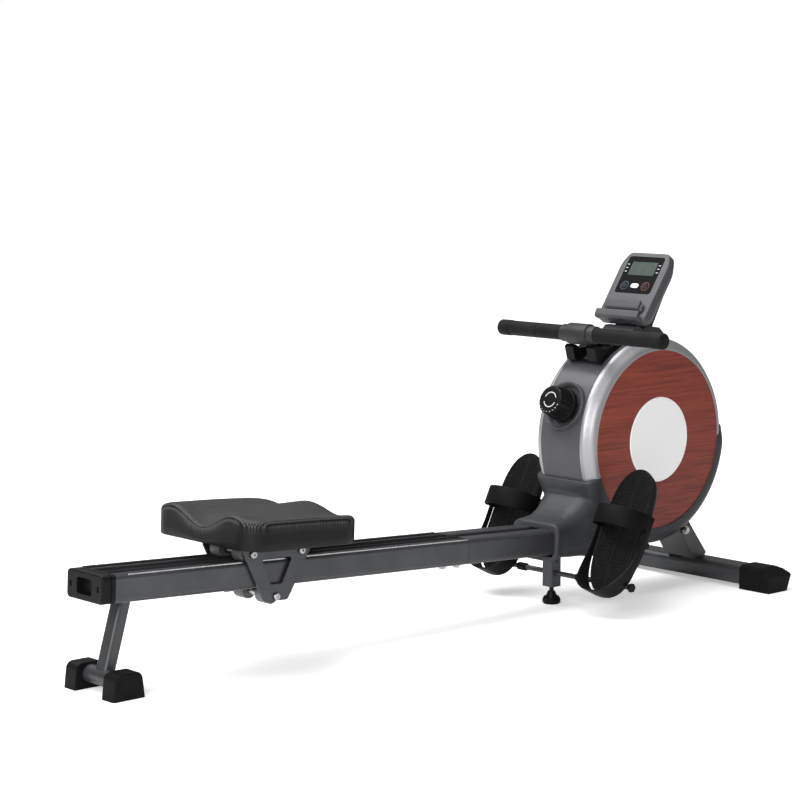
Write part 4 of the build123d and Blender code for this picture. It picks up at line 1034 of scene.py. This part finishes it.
def strap_mesh(side):
    """The instep band: a flat section carried over a half ellipse from one edge of the sole to the other."""
    size = settings("pedal")
    origin, axes = pedal_frame(side)
    half, rise = 0.0618, 0.060
    a = np.linspace(0, math.pi, 49)
    arch = np.column_stack([half * np.cos(a), rise * np.sin(a) ** 0.92])
    legs = np.column_stack([np.full(5, half), np.linspace(-0.016, -0.002, 5)])
    path = np.concatenate([legs, arch, legs[::-1] * [-1, 1]])
    step = np.gradient(path, axis=0)
    out = np.column_stack([step[:, 1], -step[:, 0]])
    out /= np.linalg.norm(out, axis=1)[:, None]
    along = np.linspace(-1, 1, len(path))
    width = size.strap / 2 * (1 - 0.16 * along ** 4)
    middle_x = 0.165 - 0.006 * (1 - along ** 2)
    section = [(-1, -0.6), (-0.93, -1), (0.93, -1), (1, -0.6), (1, 0.6), (0.93, 1), (-0.93, 1), (-1, 0.6)]
    loops = np.array([[(middle_x[i] + u * width[i], *(path[i] + out[i] * v * 0.0018)) for u, v in section]
                      for i in range(len(path))])
    band = closed_loft("band", to_world(loops.reshape(-1, 3), origin, axes).reshape(loops.shape))
    return shade_by_angle(band, 40)


SIDES = {1: "left", -1: "right"}


# ---------------------------------------------------------------- console
CONSOLE_AXES = np.stack([np.cross(CONSOLE_UP, CONSOLE_OUT), CONSOLE_UP, CONSOLE_OUT], axis=1)
CONSOLE_FOOT = middle("console_panel") - CONSOLE_UP * 0.116 + CONSOLE_OUT * 0.0015


def rounded_polygon(points, radii, per_corner=7):
    """A polygon with each corner replaced by a quadratic curve between its tangent points."""
    points = np.asarray(points, float)
    outline = []
    for i, corner in enumerate(points):
        before, after = points[i - 1], points[(i + 1) % len(points)]
        to_before = (before - corner) / np.linalg.norm(before - corner)
        to_after = (after - corner) / np.linalg.norm(after - corner)
        start, end = corner + to_before * radii[i], corner + to_after * radii[i]
        t = np.linspace(0, 1, per_corner)[:, None]
        outline.append((1 - t) ** 2 * start + 2 * t * (1 - t) * corner + t ** 2 * end)
    return np.concatenate(outline)


def console_mesh():
    """The housing: outline rings from the rounded front edge back along the wall, then in to the back."""
    corners = np.array([(-69, 0), (69, 0), (70, 146), (57, 174), (-57, 174), (-70, 146)]) * MM
    radii = np.array([14, 14, 14, 10, 10, 14]) * MM
    outline = rounded_polygon(corners, radii)
    centre = np.array([0, 87 * MM])
    rings = []
    steps = [(3.4, 0.0), (1.6, -0.5), (0.5, -1.7), (0, -3.5), (0, -17), (0.8, -20), (4, -25), (9, -33),
             (12, -36.6), (17, -38)]
    for inset, depth in steps:
        ring = centre + (outline - centre) * (1 - np.array([inset / 70, inset / 87]))
        rings.append(np.column_stack([ring, np.full(len(ring), depth * MM)]))
    rings = np.array(rings)
    points = to_world(rings.reshape(-1, 3), CONSOLE_FOOT, CONSOLE_AXES)
    body = closed_loft("console_shell", points.reshape(rings.shape))
    pocket = rounded_rectangle(104.2 * MM, 94.2 * MM, 7 * MM, 8) + [0, 116 * MM]
    carve(body, [prism("pocket", pocket, -3.6 * MM, 4 * MM, CONSOLE_FOOT, CONSOLE_AXES)])
    return shade_by_angle(body, 30)


def ledge_mesh():
    """Phone ledge: a rolled lower lip and a narrower clip above it, joined by a thin web."""
    across = np.cross(CONSOLE_AXES[:, 2], CONSOLE_AXES[:, 1])
    axes = np.stack([CONSOLE_AXES[:, 2], CONSOLE_AXES[:, 1], across], axis=1)
    bars = [
        ([(0.1, -1), (12, -3), (17.5, 1), (19.5, 15), (16.4, 18), (13.4, 15.6), (12, 8.6), (0.1, 8.8)],
         62, 2.2),
        ([(0.1, 23), (6.5, 23), (11.5, 27), (14.5, 45), (11.2, 47), (0.1, 38)], 49, 1.8),
        ([(0.1, 23), (5.5, 23), (9.2, 37), (6.4, 39), (0.1, 34)], 56, 1.4),
        ([(0.1, 8), (2.6, 8), (2.6, 24), (0.1, 24)], 50, 0.4)]
    pieces = [prism("bar", np.array(loop) * MM, -half * MM, half * MM, CONSOLE_FOOT, axes, rounding)
              for loop, half, rounding in bars]
    return joined("ledge_bars", pieces)


SEGMENTS = {"a": ((0.12, 1.0), (0.88, 1.0)), "b": ((1.0, 0.94), (1.0, 0.54)), "c": ((1.0, 0.46), (1.0, 0.06)),
            "d": ((0.12, 0.0), (0.88, 0.0)), "e": ((0.0, 0.46), (0.0, 0.06)), "f": ((0.0, 0.94), (0.0, 0.54)),
            "g": ((0.12, 0.5), (0.88, 0.5))}


def digit_mesh():
    """Seven-segment figures, all noughts with the segments set out as flat bars."""
    pieces = []
    wide, tall, thick = 10.0, 22.0, 2.2
    for left in (-31.0, -16.5, 4.5, 19.0):
        for key in "abcdef":
            (x0, y0), (x1, y1) = SEGMENTS[key]
            start = np.array([left + x0 * wide, 122 + y0 * tall])
            end = np.array([left + x1 * wide, 122 + y1 * tall])
            way = (end - start) / np.linalg.norm(end - start)
            side = np.array([-way[1], way[0]]) * thick / 2
            loop = np.array([start - way * .3, start + side + way * .5, end + side - way * .5, end + way * .3,
                             end - side - way * .5, start - side + way * .5]) * MM
            pieces.append(prism("bar", loop, -0.85 * MM, -0.7 * MM, CONSOLE_FOOT, CONSOLE_AXES))
    return joined("lcd_figures", pieces)


def panel_marks():
    """Short pale bars beside the display."""
    pieces = []
    for x in (-45.5, 45.5):
        for y in (124, 133, 142):
            loop = rounded_rectangle(6.0 * MM, 1.9 * MM, 0.5 * MM, 3) + np.array([x, y]) * MM
            pieces.append(prism("mark", loop, 0.2 * MM, 0.5 * MM, CONSOLE_FOOT, CONSOLE_AXES))
    return joined("panel_ticks", pieces)


def button_ring(name, x):
    """A thin ring printed round a button."""
    centre = to_world(np.array([x, 88, 0]) * MM, CONSOLE_FOOT, CONSOLE_AXES)
    a = np.linspace(0, TAU, 48, endpoint=False)
    loops = []
    for radius, depth in ((9.4, 0.2), (9.4, 0.5), (10.6, 0.5), (10.6, 0.2)):
        loops.append(np.column_stack([radius * np.cos(a), radius * np.sin(a), np.full(48, depth)]) * MM)
    points = to_world(np.array(loops).reshape(-1, 3), centre, CONSOLE_AXES)
    ring = mesh_object(name, points, grid_faces(4, 48, close_rows=True, close_columns=True), smooth=False)
    return face_outwards(ring)


# ---------------------------------------------------------------- strap, rail ribs
def pull_strap_mesh():
    """The woven strap: a flat section from the handle's lug, over the guide roller, to the spool."""
    roller = middle("strap_guide_roller") * [1, 0, 1]
    spool = middle("strap_spool") * [1, 0, 1]
    radius = 10.6 * MM
    first = HANDLE * [1, 0, 1] + np.array([16, 0, -9.5]) * MM
    gap = roller - first
    reach = np.linalg.norm(gap)
    heading = math.atan2(gap[2], gap[0])
    lean = math.asin(radius / reach)
    start = heading + lean + math.pi / 2
    start_point = roller + radius * np.array([math.cos(start), 0, math.sin(start)])
    leave = math.radians(8)
    arc = np.linspace(start, leave, 14)
    run = first + (start_point - first) * np.linspace(0, 1, 40)[:, None]
    turn = roller + radius * np.column_stack([np.cos(arc), np.zeros(14), np.sin(arc)])
    end = spool + np.array([39, 0, 12]) * MM
    drop = turn[-1] + (end - turn[-1]) * np.linspace(0, 1, 14)[1:, None]
    path = np.concatenate([run, turn[1:], drop])[:, [0, 2]]
    step = np.gradient(path, axis=0)
    out = np.column_stack([-step[:, 1], step[:, 0]])
    out /= np.linalg.norm(out, axis=1)[:, None]
    half, thick = 12.0 * MM, 0.8 * MM
    section = [(-1, -0.5), (-0.96, -1), (0.96, -1), (1, -0.5), (1, 0.5), (0.96, 1), (-0.96, 1), (-1, 0.5)]
    loops = []
    for i in range(len(path)):
        loops.append([(path[i][0] + out[i][0] * v * thick, u * half, path[i][1] + out[i][1] * v * thick)
                      for u, v in section])
    return shade_by_angle(closed_loft("webbing_strap", np.array(loops)), 40), start_point, first


def rib_mesh():
    """Fine ribs along the rail outside each track, in bright zinc plate; their brightness is a painted
    highlight along the tracks and the rail's rounded edge.
    """
    low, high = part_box("slide_rail")
    axes = np.stack([RAIL_DIR, np.array([0, 1.0, 0]), RAIL_UP], axis=1)
    rear = rail_top(low[0] + 30 * MM)
    front = rail_top(high[0] - 2 * MM)
    span = np.linalg.norm(front - rear)
    pieces = []
    outer_rib = 52          # a rib further out than this sits lower, on the rail's rounded edge
    for side in (-1, 1):
        for y in (48.4, 53.2):
            loop = rounded_rectangle(span, 0.9 * MM, 0.3 * MM, 2) + [span / 2, side * y * MM]
            low_z, high_z = (-0.9, 0.35) if y < outer_rib else (-2.6, -0.4)
            pieces.append(prism("rib", loop, low_z * MM, high_z * MM, rear, axes))
    return joined("track_ribs", pieces)


def rail_top(x):
    """The point on the middle line of the rail's top face at x."""
    anchor = np.array([0.053, 0, 0.1837])
    return anchor + RAIL_DIR * (x - anchor[0]) / RAIL_DIR[0]


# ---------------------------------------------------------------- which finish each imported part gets
FINISHES = [
    (powder_coated_steel, ("slide_rail", "front_beam", "rear_leg", "middle_leg", "front_stabilizer",
                           "front_bracket", "inner_frame", "seat_carriage", "pedal_rods")),
    (zinc_plated_steel, ("frame_bolts", "seat_axles", "housing_axles")),
    (black_abs, ("rail_end_cap", "leveling_foot", "handle_cradle", "seat_stops", "speed_sensor",
                 "strap_spool", "drive_pulley", "magnet_yoke", "strap_guide_roller", "pedal_rod_fittings",
                 "left_button", "right_button")),
    (cap_rubber, ("rear_foot_caps", "front_foot_caps", "transport_wheel_left", "transport_wheel_right",
                  "drive_belt")),
    (grey_abs, ("console_stand", "lower_shroud", "phone_ledge")),
    (band_abs, ("centre_band", "knob_cup")),
    (silver_lacquer, ("side_covers",)),
    (mahogany_laminate, ("wood_panels",)),
    (brushed_badge, ("badges",)),
    (cast_iron, ("flywheel", "recoil_spring", "tension_cable", "handle_bar")),
    (roller_polyurethane, ("rear_rollers", "front_rollers", "lower_rollers")),
    (console_abs, ("console_housing",)),
    (gloss_panel, ("console_panel",)),
    (lcd_glass, ("lcd_screen",)),
    (circuit_board, ("circuit_board",)),
    (white_button, ("centre_button",)),
    (joint_abs, ("handle_joint",)),
    (eva_foam, ("handle_grips",)),
    (woven_webbing, ("pull_strap",)),
    (strap_rubber, ("foot_strap_left", "foot_strap_right")),
]


# ---------------------------------------------------------------- operators
class BuildStep(bpy.types.Operator):
    """Shared shape of the operators: run a builder, and let any mistake stop the script"""
    bl_idname = "rower.step"
    bl_label = "Build step"

    def build(self):
        """Makes the step's pieces."""
        raise NotImplementedError("each step says what it builds")

    def execute(self, context):
        self.build()
        return {"FINISHED"}


class ROWER_OT_finishes(BuildStep):
    """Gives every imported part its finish"""
    bl_idname = "rower.finishes"
    bl_label = "Part finishes"

    def build(self):
        for maker, nodes in FINISHES:
            for node in nodes:
                mesh = frame["nodes"][node].data
                for i in range(max(1, len(mesh.materials))):
                    if i < len(mesh.materials):
                        mesh.materials[i] = material(maker)
                    else:
                        mesh.materials.append(material(maker))


class ROWER_OT_seat(BuildStep):
    """Builds the contoured seat pad"""
    bl_idname = "rower.seat"
    bl_label = "Seat"

    def build(self):
        piece = place(seat_mesh(), material(seat_polyurethane), "seat", ("seat_cushion",))


class ROWER_OT_handle(BuildStep):
    """Builds the foam grips, the middle moulding and the strap"""
    bl_idname = "rower.handle"
    bl_label = "Handle"

    def build(self):
        for side in (-1, 1):
            stands_for = ("handle_grips",) if side > 0 else ()
            grip = place(grip_mesh(side), material(eva_foam), "handle", stands_for)
        place(joint_mesh(), material(joint_abs), "handle", ("handle_joint",))
        strap, near_roller, near_lug = pull_strap_mesh()
        strap.data.materials.append(material(woven_webbing))
        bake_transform(strap)
        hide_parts("pull_strap")


class ROWER_OT_knob(BuildStep):
    """Builds the resistance knob and its signs"""
    bl_idname = "rower.knob"
    bl_label = "Resistance knob"

    def build(self):
        place(knob_mesh(), material(black_abs), "knob", ("resistance_knob",))
        place(knob_marks(), material(pale_print), "knob")


class ROWER_OT_shroud(BuildStep):
    """Builds the lower shroud with its collar"""
    bl_idname = "rower.shroud"
    bl_label = "Lower shroud"

    def build(self):
        place(shroud_mesh(), material(grey_abs), "frame", ("lower_shroud",))


class ROWER_OT_pedals(BuildStep):
    """Builds both pedals: tread, tray, heel guard and strap"""
    bl_idname = "rower.pedals"
    bl_label = "Pedals"

    def build(self):
        for side in (-1, 1):
            name = SIDES[side]
            body = name + "_pedal"
            place(tread_mesh(side), material(black_abs), body, ("pedal_plate_" + name,))
            place(tray_mesh(side), material(black_abs), body, ("pedal_base_" + name,))
            place(heel_mesh(side), material(black_abs), body)
            place(strap_mesh(side), material(strap_rubber), body, ("foot_strap_" + name,))


class ROWER_OT_console(BuildStep):
    """Builds the console housing, its phone ledge, the display's figures and the printed rings"""
    bl_idname = "rower.console"
    bl_label = "Console"

    def build(self):
        place(console_mesh(), material(console_abs), "frame", ("console_housing",))
        place(ledge_mesh(), material(console_abs), "frame", ("phone_ledge",))
        place(digit_mesh(), material(lcd_segment), "frame")
        place(panel_marks(), material(pale_print), "frame")
        place(button_ring("ring_blue", -30), material(blue_button), "frame")
        place(button_ring("ring_red", 30), material(red_button), "frame")


class ROWER_OT_rail(BuildStep):
    """Builds the ribs beside the tracks, their bright finish a painted highlight"""
    bl_idname = "rower.rail"
    bl_label = "Rail ribs"

    def build(self):
        # the ribs' bright zinc finish is a painted highlight along the tracks
        place(rib_mesh(), material(zinc_plated_steel), "frame")


FOCAL_LENGTH = 101.48       # millimetres, as is the sensor's width
SENSOR_WIDTH = 36.0
CAMERA_PLACE = (-3.0865, -3.3276, 1.0099)
CAMERA_TURN = (math.radians(83.2), 0, math.radians(-42.03))


class ROWER_OT_stage(BuildStep):
    """Sets the camera, the soft lights and the white floor"""
    bl_idname = "rower.stage"
    bl_label = "Stage"

    def build(self):
        stage = settings("stage")
        scene = bpy.context.scene
        lens = bpy.data.cameras.new("view")
        lens.lens = FOCAL_LENGTH
        lens.sensor_width = SENSOR_WIDTH
        lens.clip_end = 100.0
        camera = bpy.data.objects.new("view", lens)
        camera.location = CAMERA_PLACE
        camera.rotation_euler = CAMERA_TURN
        scene.collection.objects.link(camera)
        scene.camera = camera
        world = bpy.data.worlds.new("surround")
        world.use_nodes = True
        background = world.node_tree.nodes["Background"]
        background.inputs["Color"].default_value = (1.0, 1.0, 1.0, 1.0)
        tree = world.node_tree
        height = add(tree, "SeparateXYZ", Vector=add(tree, "TexCoord").outputs["Generated"]).outputs["Z"]
        dome = add(tree, "MapRange", Value=height, From_Min=-0.05, From_Max=0.9, To_Min=stage.horizon,
                   To_Max=stage.world).outputs["Result"]
        seen = add(tree, "LightPath").outputs["Is Camera Ray"]
        glow = add(tree, "Math", {"operation": "MAXIMUM"}, i0=dome, i1=seen).outputs["Value"]
        tree.links.new(glow, background.inputs["Strength"])
        scene.view_settings.view_transform = "Standard"
        scene.world = world
        half = stage.floor / 2
        corners = [(-half, -half, 0), (half, -half, 0), (half, half, 0), (-half, half, 0)]
        sheet = mesh_object("studio_floor", corners, [(0, 1, 2, 3)], smooth=False)
        sheet.data.materials.append(material(floor_paint))
        lamps = [soft_light("key", (-0.6, 0.9, 3.4), (0.1, 0.0, 0.3), 3.2, stage.key),
                 soft_light("fill", (-3.6, -1.8, 1.9), (0.2, 0.0, 0.3), 1.8, stage.fill)]


def soft_light(name, location, target, size, power):
    """A square area light at a point, turned to face a target."""
    light = bpy.data.lights.new(name, "AREA")
    light.size = size
    light.energy = power
    lamp = bpy.data.objects.new(name, light)
    lamp.location = location
    aim = np.array(target) - np.array(location)
    lamp.rotation_euler = mathutils.Vector(aim).to_track_quat("-Z", "Y").to_euler()
    bpy.context.scene.collection.objects.link(lamp)
    return lamp


STEPS = [ROWER_OT_finishes, ROWER_OT_seat, ROWER_OT_handle, ROWER_OT_knob, ROWER_OT_shroud, ROWER_OT_pedals,
         ROWER_OT_console, ROWER_OT_rail, ROWER_OT_stage]


class ROWER_PT_panel(bpy.types.Panel):
    """Lists the building steps"""
    bl_idname = "ROWER_PT_panel"
    bl_label = "Rowing machine"
    bl_space_type = "VIEW_3D"
    bl_region_type = "UI"
    bl_category = "Rower"

    def draw(self, context):
        for step in STEPS:
            self.layout.operator(step.bl_idname, text=step.bl_label)


def register():
    """Adds the settings, the operators and the panel."""
    for group in GROUPS.values():
        bpy.utils.register_class(group)
    for name, group in GROUPS.items():
        setattr(bpy.types.Scene, name, bpy.props.PointerProperty(type=group))
    for step in STEPS:
        bpy.utils.register_class(step)
    bpy.utils.register_class(ROWER_PT_panel)


def unregister():
    """Takes away what register added."""
    bpy.utils.unregister_class(ROWER_PT_panel)
    for step in reversed(STEPS):
        bpy.utils.unregister_class(step)
    for name, group in GROUPS.items():
        delattr(bpy.types.Scene, name)
        bpy.utils.unregister_class(group)


def main():
    """Runs every step in order."""
    register()
    for step in STEPS:
        group, name = step.bl_idname.split(".")
        getattr(getattr(bpy.ops, group), name)()


if __name__ == "__main__":
    main()
